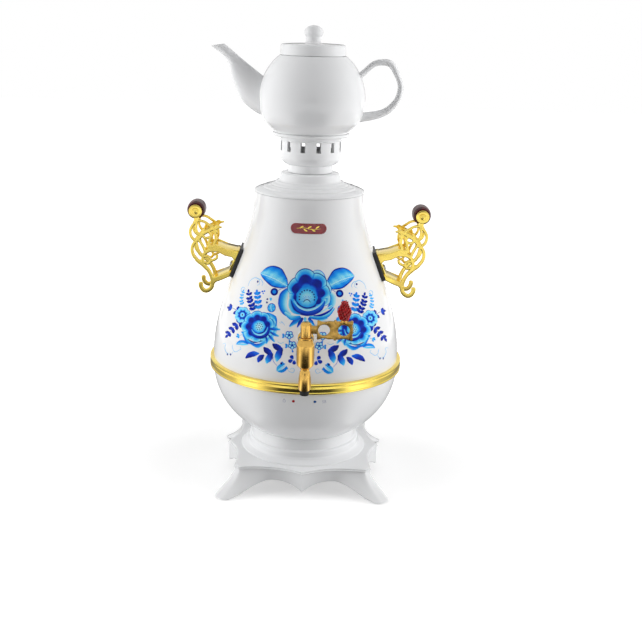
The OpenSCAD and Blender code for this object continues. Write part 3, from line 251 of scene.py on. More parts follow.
def new_shader(name, **values):
    """Starts a material and returns its tree and its shader."""
    tree = emptied(bpy.data.materials.new(name))
    shader = node(tree, "ShaderNodeBsdfPrincipled", {k.replace("_", " "): v for k, v in values.items()})
    node(tree, "ShaderNodeOutputMaterial", {"Surface": shader})
    return tree, shader


def grain(tree, scale, detail=2.0, stretch=(1, 1, 1)):
    """Noise on Object coordinates, with that many spots to a metre along each axis."""
    turned = node(tree, "ShaderNodeMapping", {"Vector": object_place(tree), "Scale": stretch})
    return node(tree, "ShaderNodeTexNoise", {"Vector": turned, "Scale": scale, "Detail": detail})


def vary(tree, source, lo, hi):
    """Turns noise into a range of values."""
    return map_range(tree, source, 0.3, 0.7, lo, hi)


def two_tone(tree, source, a, b):
    """Turns noise into colours between two tones."""
    return ramp(tree, source, [(0.3, linear(a)), (0.7, linear(b))])


def shades(colour, *shares):
    """The same sRGB colour, lighter or darker by each share."""
    return [[min(1.0, c * share) for c in colour] for share in shares]


def finish(name, spots, tones, rough=None, bump=None, **values):
    """A material from noise: its spots and two tones, then the roughness's and the bump's own spots and range."""
    tree, shader = new_shader(name, **values)
    tone = two_tone(tree, grain(tree, *spots), *tones)
    link(tree, tone, shader, "Base Color")
    if rough:
        link(tree, vary(tree, grain(tree, *rough[0]), *rough[1:]), shader, "Roughness")
    if bump:
        spots, depth, strength = bump
        link(tree, node(tree, "ShaderNodeBump", {"Height": grain(tree, *spots), "Distance": depth,
                                                 "Strength": strength}), shader, "Normal")
    return tree, shader, tone


def cobalt(paint):
    """Cobalt under the glaze: one pigment, thinned with water.

    The stroke's own "load" gives how much of it the brush left, and bristle marks run along the stroke."""
    tree, shader = new_shader("cobalt_underglaze", Roughness=0.1, IOR=1.25)
    load = node(tree, "ShaderNodeAttribute", attribute_name="load").outputs["Fac"]
    bristles = node(tree, "ShaderNodeMapping", {"Vector": node(tree, "ShaderNodeUVMap", uv_map="stroke"),
                                                "Scale": (0.35, 3.2, 1)})
    marks = node(tree, "ShaderNodeTexNoise", {"Vector": bristles, "Scale": 1.0, "Detail": 2.0})
    mottled = math_node(tree, "MULTIPLY_ADD", marks, 0.16, -0.08)
    amount = node(tree, "ShaderNodeMath", {0: load, 1: mottled}, operation="ADD", use_clamp=True)
    link(tree, ramp(tree, amount, [(place, linear(tone)) for place, tone in (
        (0.0, paint.pale), (0.2, "#74dcff"), (0.4, "#1fa8fb"), (0.6, "#0478ee"), (0.78, "#0046d2"),
        (0.9, "#0028ac"), (1.0, paint.deep))]), shader, "Base Color")
    link(tree, vary(tree, grain(tree, 60), 0.07, 0.13), shader, "Roughness")


# Materials of one noise and two tones: spots, tones, then what rough, bump and the shader take
PLAIN_FINISHES = {
    # Stainless sheet, spun: rings of fine scratches around the tank
    "spun_stainless": ((250, 2, (0.2, 0.2, 8)), ("#b2b4b6", "#c9cbcc"), ((250, 2, (0.2, 0.2, 8)), 0.22, 0.36),
                       None, {"Metallic": 1.0, "Roughness": 0.28}),
    # Zinc-plated steel: cool grey with a slightly mottled passivated skin
    "zinc_plated_steel": ((500, 3), ("#9a9b9a", "#bdbfc2"), ((800, 2), 0.28, 0.42), None,
                          {"Metallic": 1.0, "Roughness": 0.34}),
    # Die-cast aluminium: matt, pale and a little grainy
    "cast_aluminium": ((700, 4), ("#a9abad", "#c3c5c6"), None, ((1800, 3), 0.00006, 0.5),
                       {"Metallic": 1.0, "Roughness": 0.45}),
    # Nitrile rubber: dull black with a dusty bloom
    "nitrile_rubber": ((120, 3), ("#141414", "#232324"), None, ((2500, 2), 0.00004, 0.5),
                       {"Roughness": 0.75, "IOR": 1.5}),
    # Glass-filled nylon, spark-eroded mould: satin black with a fine leather-like grain
    "moulded_nylon_black": ((200, 3), ("#161617", "#222224"), ((1500, 2), 0.36, 0.55), ((2200, 3), 0.00005, 0.6),
                            {"Roughness": 0.45, "IOR": 1.53}),
    # Silicone: pale, soft and slightly see-through at its edges
    "silicone_pale": ((200, 2), ("#d8d5cc", "#e6e4dd"), None, None,
                      {"Roughness": 0.5, "IOR": 1.41, "Subsurface_Weight": 0.2}),
    # Acrylic, moulded in facets: deep red that glows a little where light gets through
    "red_acrylic": ((260, 2), ("#a80409", "#d2131a"), None, ((1400, 2), 0.00005, 0.4),
                    {"Roughness": 0.1, "IOR": 1.49, "Transmission_Weight": 0.15, "Subsurface_Weight": 0.15}),
    # Enamelled plaque: glassy dark red, slightly uneven in depth of colour
    "red_enamel": ((180, 2), ("#7c0a14", "#981420"), None, ((500, 2), 0.00003, 0.3),
                   {"Roughness": 0.12, "IOR": 1.52, "Coat_Weight": 0.5}),
    # Pad-printed grey lines: flat ink that sits in the gloss
    "grey_ink": ((900, 2), ("#8e93b4", "#a9adc6"), None, None, {"Roughness": 0.3, "IOR": 1.5}),
    # Circuit board: green solder mask over a woven base
    "green_solder_mask": ((900, 2), ("#174a2a", "#236238"), None, None, {"Roughness": 0.3, "IOR": 1.5}),
    # Silicone-covered wire: dull orange, a little dirty
    "wire_cover": ((300, 3), ("#b25617", "#cc6c24"), None, None, {"Roughness": 0.55, "IOR": 1.45}),
}


def make_materials():
    """Every material, before the pieces that need them."""
    scene = bpy.context.scene
    shell, metal = scene.shell_look, scene.metal_look
    for name, (spots, tones, rough, bump, values) in PLAIN_FINISHES.items():
        finish(name, spots, tones, rough, bump, **values)
    # Glazed porcelain: clear gloss over white, with the glaze's slow waves and a faint cool drift
    finish("glazed_porcelain", (9,), shades(shell.glaze, 0.985, 1), ((60,), 0.05, 0.1), ((110, 1), 0.00003, 0.35),
           Roughness=0.07, IOR=1.52)
    # Moulded ABS, polished: softer gloss than the glaze, with faint flow lines
    finish("moulded_abs_white", (14,), shades(shell.moulding, 0.98, 1), ((90, 3, (1, 1, 0.3)), 0.13, 0.2),
           ((900, 2), 0.000012, 0.4), Roughness=0.16, IOR=1.53)
    # Gold plating over a polished casting: bright, with soft ripples from the cast metal
    finish("gold_plating", (45,), shades(metal.gold, 0.95, 1.04),
           ((160, 3), metal.roughness * 0.75, metal.roughness * 1.5), ((90, 1), 0.00012, 0.4),
           Metallic=1.0, Roughness=metal.roughness)
    # Tap brass, machined and polished: browner than the plating, with fine turning lines
    lines = (300, 2, (0.3, 0.3, 6))
    finish("polished_brass", (70, 3), shades(metal.brass, 0.88, 1.05), (lines, 0.11, 0.24), (lines, 0.00002, 0.25),
           Metallic=1.0, Roughness=0.17)
    # Flat key plate: the same brass, sand cast, with a finely dimpled face
    finish("cast_brass", (400, 4), shades(metal.brass, 0.82, 1), ((700, 3), 0.22, 0.4), ((1500, 3), 0.00009, 0.6),
           Metallic=1.0, Roughness=0.3)
    # Beech, stained and lacquered: dark red-brown, its grain along the grip, under a thin clear coat
    fibres = (420, 4, (1, 0.08, 1))
    finish("lacquered_beech", fibres, shades(scene.grip_look.wood, 0.55, 1.25), None, (fibres, 0.00004, 0.3),
           Roughness=0.3, IOR=1.3, Coat_Weight=0.06, Coat_Roughness=0.12)
    # Tinted lamp windows: clear coloured plastic with a lit look
    for name, tones in (("lamp_window_red", ("#7a0a14", "#a01420")), ("lamp_window_blue", ("#0a3060", "#12508c"))):
        tree, shader, tone = finish(name, (1200, 1), tones, Roughness=0.08, IOR=1.49, Emission_Strength=0.25)
        link(tree, tone, shader, "Emission Color")
    cobalt(scene.paint_look)


# ---------- Shapes ----------


def curve(points, steps):
    """Smooth curve through points of any size, with that many steps between neighbours."""
    p = np.array(points, float)
    last = len(p) - 1
    made = []
    for i in range(last):
        a, b, c, d = p[max(i - 1, 0)], p[i], p[i + 1], p[min(i + 2, last)]
        for t in np.arange(steps) / steps:
            made.append(0.5 * (2 * b + (c - a) * t + (2 * a - 5 * b + 4 * c - d) * t * t
                               + (3 * b - a - 3 * c + d) * t ** 3))
    return np.array(made + [p[last]])


def tangents(p):
    """Directions along a row of points."""
    t = np.gradient(p, axis=0)
    return t / np.maximum(np.linalg.norm(t, axis=1, keepdims=True), 1e-12)


def soften(profile, radius, steps=4, closed=True):
    """Rounds the corners of a flat outline, each by at most the radius given."""
    p = [Vector(q) for q in profile]
    made = []
    for i, here in enumerate(p):
        if not closed and i in (0, len(p) - 1):
            made.append(tuple(here))
            continue
        back, on = p[i - 1] - here, p[(i + 1) % len(p)] - here
        if back.length < 1e-6 or on.length < 1e-6:
            continue
        turn = math.pi - back.angle(on)
        cut = min(radius * math.tan(turn / 2), back.length * 0.45, on.length * 0.45)
        if turn < 0.3 or cut < 1e-3:
            made.append(tuple(here))
            continue
        a, b = here + back.normalized() * cut, here + on.normalized() * cut
        for k in range(steps + 1):
            t = k / steps
            made.append(tuple((1 - t) ** 2 * a + 2 * t * (1 - t) * here + t * t * b))
    return made


def loft(rings, round_=False):
    """Points and faces of a skin over rings of the same count, capped unless it goes round to the first ring."""
    rings = [np.asarray(r, float) for r in rings]
    m, n = len(rings), len(rings[0])
    faces = []
    for k in range(m if round_ else m - 1):
        a, b = k * n, (k + 1) % m * n
        for i in range(n):
            j = (i + 1) % n
            faces.append((a + i, a + j, b + j, b + i))
    if not round_:
        faces.append(tuple(reversed(range(n))))
        faces.append(tuple((m - 1) * n + i for i in range(n)))
    return np.vstack(rings), faces


def circle(r, steps):
    """Points round a circle."""
    turns = [2 * math.pi * k / steps for k in range(steps)]
    return [(r * math.cos(a), r * math.sin(a)) for a in turns]


def about(r0, z0, *steps):
    """Places given as steps from a radius and a height."""
    return [(r0 + r, z0 + z) for r, z in steps]


def turned(profile, steps=160):
    """Solid of revolution about Z from a closed outline of radius and height."""
    outline = np.array(profile, float)
    return loft([np.column_stack([outline[:, 0] * c, outline[:, 0] * s, outline[:, 1]])
                 for c, s in circle(1, steps)], True)


def moved(shape, matrix):
    """The same shape, placed."""
    points, faces = shape
    m = np.array(matrix, float)
    return points @ m[:3, :3].T + m[:3, 3], faces


def both(*shapes):
    """Several shapes in one mesh."""
    points, faces, start = [], [], 0
    for p, f in shapes:
        points.append(p)
        faces += [tuple(i + start for i in face) for face in f]
        start += len(p)
    return np.vstack(points), faces


def swept(path, widths, heights, sides=12, flat=1.0):
    """Closed bar along a path in the XZ plane, wide across the path and high along Y.

    A flat of 1 gives an ellipse, and a larger one gives flatter faces."""
    p = np.array(path, float)
    t = tangents(p)
    rings = []
    for i, q in enumerate(p):
        ring = []
        for k in range(sides):
            a = 2 * math.pi * (k + 0.5) / sides
            c, s = (math.copysign(abs(f) ** (1 / flat), f) for f in (math.cos(a), math.sin(a)))
            ring.append((q[0] - t[i][1] * c * widths[i] / 2, s * heights[i] / 2,
                         q[1] + t[i][0] * c * widths[i] / 2))
        rings.append(ring)
    return loft(rings)


def plate_of(outline, depth):
    """Flat outline in X and Z, made as thick as the depth about y = 0."""
    p = np.array(outline, float)
    return loft([np.column_stack([p[:, 0], np.full(len(p), y), p[:, 1]]) for y in (-depth / 2, depth / 2)])


@contextmanager
def editing(data, into=None):
    """A mesh opened for editing, then written back or into another."""
    work = bmesh.new()
    work.from_mesh(data)
    yield work
    work.to_mesh(into or data)
    work.free()


def mesh_of(name, shape, outward=True):
    """Mesh from points in millimetres, with doubles merged and faces pointing outwards."""
    points, faces = shape
    data = bpy.data.meshes.new(name)
    data.from_pydata((np.asarray(points, float) * MM).tolist(), [], faces)
    with editing(data) as work:
        bmesh.ops.remove_doubles(work, verts=work.verts, dist=DOUBLE)
        bmesh.ops.delete(work, geom=[e for e in work.edges if not e.link_faces], context="EDGES")
        if outward:
            bmesh.ops.recalc_face_normals(work, faces=work.faces)
    return data


def placed_object(name, data):
    made = bpy.data.objects.new(name, data)
    bpy.context.scene.collection.objects.link(made)
    return made


def thing(name, shape):
    """New object from a shape, or from a ready mesh."""
    data = shape if isinstance(shape, bpy.types.Mesh) else mesh_of(name, shape)
    data.name = name
    return placed_object(name, data)


def discard(*things):
    for old in things:
        data = old.data
        bpy.data.objects.remove(old)
        bpy.data.meshes.remove(data)


def settle(made):
    """Turns an object's live modifiers into plain mesh."""
    bpy.context.view_layer.update()
    whole = bpy.data.meshes.new_from_object(made.evaluated_get(bpy.context.evaluated_depsgraph_get()))
    old = made.data
    made.modifiers.clear()
    made.data = whole
    if old.users == 0:
        bpy.data.meshes.remove(old)
    return made


def merged(made):
    """Makes one corner of those that a cut or a bevel leaves a hair apart, and returns the object."""
    with editing(made.data) as work:
        bmesh.ops.remove_doubles(work, verts=work.verts, dist=HAIR)
        bmesh.ops.dissolve_degenerate(work, dist=HAIR, edges=work.edges)
    return made


def joined(made, operation, *others):
    """Boolean of an object with others, which are used up."""
    for other in others:
        step = made.modifiers.new(operation, "BOOLEAN")
        step.operation, step.object, step.solver = operation, other, "EXACT"
        settle(made)
    discard(*others)
    return merged(made)


def bevelled(made, width, segments=2, angle=35):
    """Rounds an object's sharp edges by a width in millimetres."""
    step = made.modifiers.new("edges", "BEVEL")
    step.width, step.segments, step.limit_method = width * MM, segments, "ANGLE"
    step.angle_limit, step.use_clamp_overlap = math.radians(angle), True
    return merged(settle(made))


def finished(made, material, *replaced, body="vessel", sharp=32, name=None):
    """Smooth shading, material, body and the nodes that the piece stands for; stops at an empty piece."""
    if not made.data.polygons:
        raise RuntimeError(made.name + " came out with no faces")
    if name:
        made.name = made.data.name = name
    data = made.data
    data.materials.clear()
    data.materials.append(bpy.data.materials[material])
    data.polygons.foreach_set("material_index", np.zeros(len(data.polygons), np.int32))
    data.shade_smooth()
    data.set_sharp_from_angle(angle=math.radians(sharp))
    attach(made, body)
    if replaced:
        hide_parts(*replaced)


def node_copy(name):
    """A frame node's mesh with its doubles merged and its flat faces made whole."""
    data = bpy.data.meshes.new(name)
    with editing(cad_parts[name].data, data) as work:
        bmesh.ops.remove_doubles(work, verts=work.verts, dist=FRAME_DOUBLE)
        bmesh.ops.dissolve_limit(work, angle_limit=math.radians(1.5), verts=work.verts, edges=work.edges)
    data.materials.clear()
    return data


def eased_node(name, node_name, width, segments, material, body="vessel"):
    """A piece in place of a frame node: its mesh with its edges rounded off."""
    finished(bevelled(thing(name, node_copy(node_name)), width, segments, 40), material, node_name, body=body)


def node_finish(material, *names):
    """Gives frame nodes that are shown as they are their material."""
    for name in names:
        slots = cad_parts[name].data.materials
        slots.clear()
        slots.append(bpy.data.materials[material])


# ---------- Geometry Nodes ----------


def new_tree(name, inputs):
    """Empty tree with a Geometry input and output, and named inputs for sizes."""
    tree = bpy.data.node_groups.new(name, "GeometryNodeTree")
    tree.interface.new_socket("Geometry", in_out="INPUT", socket_type="NodeSocketGeometry")
    for label, (kind, default) in inputs.items():
        tree.interface.new_socket(label, in_out="INPUT", socket_type="NodeSocket" + kind).default_value = default
    tree.interface.new_socket("Geometry", in_out="OUTPUT", socket_type="NodeSocketGeometry")
    return tree, node(tree, "NodeGroupInput").outputs


def end_tree(tree, geometry, material):
    """Realize Instances and Set Material, at the end of every tree."""
    whole = node(tree, "GeometryNodeRealizeInstances", {"Geometry": geometry})
    painted = node(tree, "GeometryNodeSetMaterial", {
        "Geometry": whole, "Material": bpy.data.materials[material]})
    node(tree, "NodeGroupOutput", {"Geometry": painted})


def grown(name, tree, start, **sizes):
    """Object whose mesh a tree has made, from a starting mesh and named sizes."""
    made = thing(name, start)
    step = made.modifiers.new("tree", "NODES")
    step.node_group = tree
    for item in tree.interface.items_tree:
        if item.in_out == "INPUT" and item.name in sizes:
            step[item.identifier] = sizes[item.name]
    return settle(made)


def placed_copies(tree, given, piece, axis, scale):
    """A copy of a piece on every starting point, with an axis turned to the point's "out"."""
    out = node(tree, "GeometryNodeInputNamedAttribute", {"Name": "out"}, data_type="FLOAT_VECTOR")
    turn = node(tree, "FunctionNodeAlignEulerToVector", {"Vector": out}, axis=axis)
    return node(tree, "GeometryNodeInstanceOnPoints", {
        "Points": given["Geometry"], "Instance": piece, "Rotation": turn, "Scale": scale})


def beads_tree(material):
    """Copies of a small dome on every starting point, turned to the point's "out"."""
    tree, given = new_tree("beads_" + material, {"Radius": ("Float", 0.0005), "Height": ("Float", 0.5),
                                                 "Sides": ("Int", 10)})
    dome = node(tree, "GeometryNodeMeshUVSphere", {"Segments": given["Sides"], "Rings": 6, "Radius": 1.0})
    size = node(tree, "GeometryNodeInputNamedAttribute", {"Name": "size"}, data_type="FLOAT")
    wide = math_node(tree, "MULTIPLY", size, given["Radius"])
    tall = math_node(tree, "MULTIPLY", wide, given["Height"])
    end_tree(tree, placed_copies(tree, given, dome, "Z", xyz(tree, wide, wide, tall)), material)
    return tree


def stored(data, name, values, kind="FLOAT", field="value"):
    """Gives a mesh's points an attribute."""
    data.attributes.new(name, kind, "POINT").data.foreach_set(field, np.asarray(values, np.float32).ravel())


def points_mesh(name, points, outs, sizes):
    """Loose points, in millimetres, each with its direction and its size."""
    data = bpy.data.meshes.new(name)
    data.from_pydata((np.asarray(points, float) * MM).tolist(), [], [])
    stored(data, "out", outs, "FLOAT_VECTOR", "vector")
    stored(data, "size", sizes)
    return data


def vessel_tree(material):
    """Upper shell: a grid bent round the axis, its radius by the cosine rule of its height."""
    tree, given = new_tree("vessel_wall", {
        "Around": ("Int", 256), "Up": ("Int", 120), "Foot height": ("Float", 0.137),
        "Height": ("Float", 0.181), "Body radius": ("Float", 0.101), "Top radius": ("Float", 0.0583),
        "Pull": ("Float", 1.06), "Wall": ("Float", 0.0025)})
    plus, less, times, power, cosine, sine = (
        partial(math_node, tree, name) for name in ("ADD", "SUBTRACT", "MULTIPLY", "POWER", "COSINE", "SINE"))
    walls = []
    for inner in (0.0, 1.0):
        grid = node(tree, "GeometryNodeMeshGrid", {"Size X": 1.0, "Size Y": 1.0, "Vertices X": given["Around"],
                                                   "Vertices Y": given["Up"]})
        place = parts_of(tree, node(tree, "GeometryNodeInputPosition"))
        around = times(plus(place["X"], 0.5), 2 * math.pi)
        share = plus(place["Y"], 0.5)
        swell = times(plus(cosine(times(power(share, given["Pull"]), math.pi)), 1.0), 0.5)
        radius = plus(times(swell, less(given["Body radius"], given["Top radius"])), given["Top radius"])
        radius = less(radius, times(given["Wall"], inner))
        height = plus(times(share, given["Height"]), given["Foot height"])
        bent = xyz(tree, times(radius, cosine(around)), times(radius, sine(around)), height)
        walls.append(node(tree, "GeometryNodeSetPosition", {"Geometry": grid, "Position": bent}))
    made = node(tree, "GeometryNodeJoinGeometry")
    for wall in (node(tree, "GeometryNodeFlipFaces", {"Mesh": walls[1]}), walls[0], given["Geometry"]):
        link(tree, wall, made, "Geometry")
    end_tree(tree, node(tree, "GeometryNodeMergeByDistance", {"Geometry": made, "Distance": 0.000001}), material)
    return tree


def slots_tree(material):
    """Cuts slots through a wall, evenly around the axis."""
    tree, given = new_tree("slots_around", {
        "Count": ("Int", 12), "Width": ("Float", 0.0048), "Height": ("Float", 0.0105),
        "Middle": ("Float", 0.366), "Reach": ("Float", 0.03), "Depth": ("Float", 0.02)})
    bar = node(tree, "GeometryNodeMeshCube", {"Size": xyz(tree, given["Depth"], given["Width"], given["Height"])})
    ring = node(tree, "GeometryNodeMeshCircle", {"Vertices": given["Count"], "Radius": given["Reach"]})
    up = node(tree, "GeometryNodeTransform", {
        "Geometry": ring, "Translation": xyz(tree, z=given["Middle"]),
        "Rotation": xyz(tree, z=math_node(tree, "DIVIDE", math.pi, given["Count"]))})
    place = parts_of(tree, node(tree, "GeometryNodeInputPosition"))
    turn = node(tree, "FunctionNodeAlignEulerToVector", {"Vector": xyz(tree, place["X"], place["Y"])}, axis="X")
    bars = node(tree, "GeometryNodeInstanceOnPoints", {"Points": up, "Instance": bar, "Rotation": turn})
    cut = node(tree, "GeometryNodeMeshBoolean", {
        "Mesh 1": given["Geometry"], "Mesh 2": node(tree, "GeometryNodeRealizeInstances", {"Geometry": bars})},
        operation="DIFFERENCE")
    end_tree(tree, cut, material)
    return tree


def scales_tree(material):
    """Leaf-like scales on a spiral of starting points, each turned to its "out"."""
    tree, given = new_tree("cone_scales", {"Length": ("Float", 0.0042), "Width": ("Float", 0.0032),
                                           "Thickness": ("Float", 0.0022)})
    leaf = node(tree, "GeometryNodeMeshUVSphere", {"Segments": 8, "Rings": 5, "Radius": 0.5})
    shaped = node(tree, "GeometryNodeTransform", {
        "Geometry": leaf, "Scale": xyz(tree, given["Length"], given["Width"], given["Thickness"])})
    size = node(tree, "GeometryNodeInputNamedAttribute", {"Name": "size"}, data_type="FLOAT")
    end_tree(tree, placed_copies(tree, given, shaped, "X", size), material)
    return tree


# ---------- Base and column ----------

PLATE_HALF, CUSP_OUT, CORNER_CUT, SIDE_DIP, TOE_REACH = 74.0, 11.5, 6.0, 2.5, 126.5
ARCH_H, POINT_H, TOE_ANGLE, ARCH_ANGLE = 16.0, 7.7, 5.0, 20.3
LIP_OUT, SKIRT_WALL, PLATE_T = 1.6, 3.0, 3.0
SKIRT_TOP = BASE_H - PLATE_T


def foot_angle(a):
    return abs(a % 90 - 45)


def plate_edge(a):
    """Distance of the base plate's edge from the axis at an angle in degrees."""
    b = math.radians(45 - foot_angle(a))
    x = side = 0.0
    for _ in range(9):
        u = min(abs(x) / (PLATE_HALF - CORNER_CUT), 1)
        side = PLATE_HALF + CUSP_OUT * (1 - u) ** 3 - SIDE_DIP * math.sin(math.pi * u)
        x = math.tan(b) * side
    return min(side / math.cos(b), (2 * PLATE_HALF - CORNER_CUT) / (math.sin(b) + math.cos(b)))


def skirt_low(a):
    """Height of the skirt's lower edge: feet at the corners, a point in the middle of each side."""
    d = foot_angle(a)
    if d <= TOE_ANGLE:
        return PAD_H
    if d <= ARCH_ANGLE:
        return ARCH_H - (ARCH_H - PAD_H) * ((ARCH_ANGLE - d) / (ARCH_ANGLE - TOE_ANGLE)) ** 2.2
    return ARCH_H - (ARCH_H - POINT_H) * ((d - ARCH_ANGLE) / (45 - ARCH_ANGLE)) ** 2.6


def toe_flare(a, z):
    t = min(max((ARCH_ANGLE + 2 - foot_angle(a)) / (ARCH_ANGLE + 2 - TOE_ANGLE), 0), 1)
    drop = max(SKIRT_TOP - z, 0) / (SKIRT_TOP - PAD_H)
    return t * t * (3 - 2 * t) * drop ** 1.8


def pedestal_shape(count=360):
    """Skin of the footed base: up inside the skirt, down outside it and over the plate's edge."""
    angles = [360 * k / count for k in range(count)]
    edges = [plate_edge(a) for a in angles]
    toe = TOE_REACH - plate_edge(45) + LIP_OUT

    def ring(radius, height):
        made = []
        for a, e in zip(angles, edges):
            z = height(a)
            r = radius(a, e, z)
            made.append((r * math.cos(math.radians(a)), r * math.sin(math.radians(a)), z))
        return made

    def at(share, lift=0.0):
        return lambda a: skirt_low(a) + lift + (SKIRT_TOP - skirt_low(a)) * share

    def skirt(cut, flare=1.0):
        return lambda a, e, z: e - LIP_OUT - cut + toe * flare * toe_flare(a, z)

    rings = [ring(skirt(SKIRT_WALL, 0.45), at(share)) for share in (1, 0.8, 0.6, 0.45, 0.3, 0.15, 0.05, 0.01)]
    rings += [ring(skirt(cut), at(0, lift))
              for cut, lift in ((2.2, 0.0), (1.1, 0.0), (0.5, 0.15), (0.15, 0.5), (0, 1.1))]
    rings += [ring(skirt(0), at(share)) for share in (0.1, 0.17, 0.25, 0.33, 0.42, 0.5, 0.6, 0.7, 0.8, 0.9, 0.97)]
    # Lower bead, groove and upper edge of the plate
    rings += [ring(lambda a, e, _, out=out: e + out, lambda a, z=z: z) for out, z in (
        (-1.5, 28.45), (-0.35, 28.5), (-0.08, 28.65), (0, 28.95), (-0.05, 29.4), (-0.3, 29.65), (-1.3, 29.75),
        (-1.45, 29.9), (-1.3, 30.05), (-1.05, 30.2), (-0.95, 30.5), (-1.0, 30.95), (-1.25, 31.3), (-1.7, 31.5),
        (-4, 31.5))]
    rings += [ring(lambda a, e, _, radius=radius: radius, lambda a, z=z: z)
              for radius, z in ((60, BASE_H), (42, BASE_H), (42, SKIRT_TOP), (60, SKIRT_TOP))]
    return loft(rings, True)


def column_shape():
    neck, ring, h = 58.0, 11.5, BOWL_FOOT - BASE_H
    outer = [(neck, BOWL_FOOT), (neck, BASE_H + h * 0.53)] + [
        (neck + ring * r, BASE_H + h * z) for r, z in (
            (0.2, 0.51), (0.28, 0.46), (0.3, 0.26), (0.42, 0.17), (0.65, 0.1), (0.92, 0.055), (1, 0.02), (1, 0))]
    inner = [(46.5, BASE_H), (46.5, BASE_H + 3), (55, BASE_H + 3), (55, BOWL_FOOT - 3), (40, BOWL_FOOT - 3),
             (40, BOWL_FOOT)]
    return turned(soften(outer + inner, 0.9, 4), 192)


# ---------- Bowl and rear panel ----------


def bowl_radius(z):
    depth = bpy.context.scene.shell_look.bowl_depth / MM
    return BODY_R if z >= BOWL_MID else BODY_R * math.sqrt(max(0, 1 - ((BOWL_MID - z) / depth) ** 2))


def rounded_box(w, h, r, steps=6):
    """Outline of a rectangle with round corners, in X and Z."""
    made = []
    for x, z, start in ((1, -1, -90), (1, 1, 0), (-1, 1, 90), (-1, -1, 180)):
        for k in range(steps + 1):
            a = math.radians(start + 90 * k / steps)
            made.append((x * (w / 2 - r) + r * math.cos(a), z * (h / 2 - r) + r * math.sin(a)))
    return made


def block_at(name, outline, y0, y1, x=0.0, z=0.0):
    points, faces = plate_of(outline, y1 - y0)
    return thing(name, (points + np.array([x, (y0 + y1) / 2, z]), faces))


def bowl_object():
    depth = bpy.context.scene.shell_look.bowl_depth / MM
    wall, top = 2.5, WEB_Z - 1
    start = math.asin((BOWL_MID - BOWL_FOOT) / depth)
    turns = [start * (1 - k / 48) for k in range(49)]
    outer = [(BODY_R * math.cos(a), BOWL_MID - depth * math.sin(a)) for a in turns]
    inner = [(r - wall, max(z, BOWL_FOOT + wall)) for r, z in reversed(outer) if r - wall > 57]
    outline = [(40, BOWL_FOOT)] + outer + [(BODY_R, top), (BODY_R - wall, top)] + inner + [
        (56, BOWL_FOOT + wall), (40, BOWL_FOOT + wall)]
    made = thing("bowl", turned(outline, 192))
    panel_z = centre("power_inlet")[2]
    front = high("power_inlet").y - 2
    box = bevelled(block_at("panel", rounded_box(60, 27, 4), front - 30, front, 0, panel_z), 1.0, 3, 60)
    joined(made, "UNION", box)
    cuts = [block_at("cut", rounded_box(55, 22, 2.5), front - 31, front - wall, 0, panel_z)]
    for part, spare, h in (("power_inlet", 2.0, 19.6), ("switch_housing", 2.2, 12.8)):
        w, mid = high(part).x - low(part).x - spare, centre(part)
        cuts.append(block_at("cut", rounded_box(w, h, 0.3), front - 4, front + 1, mid[0], mid[2]))
    # Holes that the lamps sit in
    lamp_z = centre("red_lamp")[2]
    for part in ("red_lamp", "blue_lamp"):
        cuts.append(block_at("hole", rounded_box(3.2, 3.2, 1.59, 8), -110, -90, centre(part)[0], lamp_z))
    return joined(made, "DIFFERENCE", *cuts)


def belt_shape():
    h = BELT_Z1 - BELT_Z0
    band = [(BODY_R, BELT_Z0)] + about(BELT_R, BELT_Z0, (-1, 0), (0, 0.9), (0, 1.9), (-0.55, 2.3))
    band += [(BELT_R - 0.55 + 0.5 * math.sin(math.pi * t / 8), BELT_Z0 + 2.3 + (h - 4.6) * t / 8)
             for t in range(1, 8)]
    band += about(BELT_R, BELT_Z1, (-0.55, -2.3), (0, -1.9), (0, -0.9), (-1, 0)) + [(BODY_R, BELT_Z1)]
    band += about(BODY_R, WEB_Z, (0, 0), (-4.5, 0), (-4.5, -1), (0, -1))
    return turned(soften(band, 0.35, 3), 240)


# ---------- Upper shell ----------


def shell_radius(z):
    """Outer radius of the upper shell at a height, by its rule. Takes arrays too."""
    look = bpy.context.scene.shell_look
    top = look.top_radius / MM
    t = np.clip((np.asarray(z, float) - BELT_Z1) / SHELL_H, 0, 1)
    return top + (BODY_R - top) * (1 + np.cos(math.pi * t ** look.pull)) / 2


def shell_object():
    look = bpy.context.scene.shell_look
    around, wall, top = 256, 2.5, look.top_radius / MM

    def strip(*rings):
        points, faces = loft([[(*place, z) for place in circle(r, around - 1)] for r, z in rings])
        return points, [f for f in faces if len(f) == 4]

    rims = both(strip((BODY_R - wall, BELT_Z1), (BODY_R - wall, WEB_Z), (BODY_R, WEB_Z), (BODY_R, BELT_Z1)),
                strip((top, SHELL_TOP), (top - wall, SHELL_TOP)))
    return grown("upper_shell", vessel_tree("glazed_porcelain"), mesh_of("rims", rims, outward=False),
                 **{"Around": around, "Up": 120, "Foot height": BELT_Z1 * MM, "Height": SHELL_H * MM,
                    "Body radius": BODY_R * MM, "Top radius": look.top_radius, "Pull": look.pull,
                    "Wall": wall * MM})


# Plaque: its edge's thickness, how much higher its rim is, how much lower its field lies, and how deep it sinks
# into the shell; then the width of the rim's slope, where the slope to the field starts, and that slope's width
PLAQUE_EDGE, PLAQUE_RIM, PLAQUE_FIELD, PLAQUE_SINK = 0.35, 0.45, 0.3, 0.3
RIM_SLOPE, FIELD_AT, FIELD_SLOPE = 0.35, 1.1, 0.4


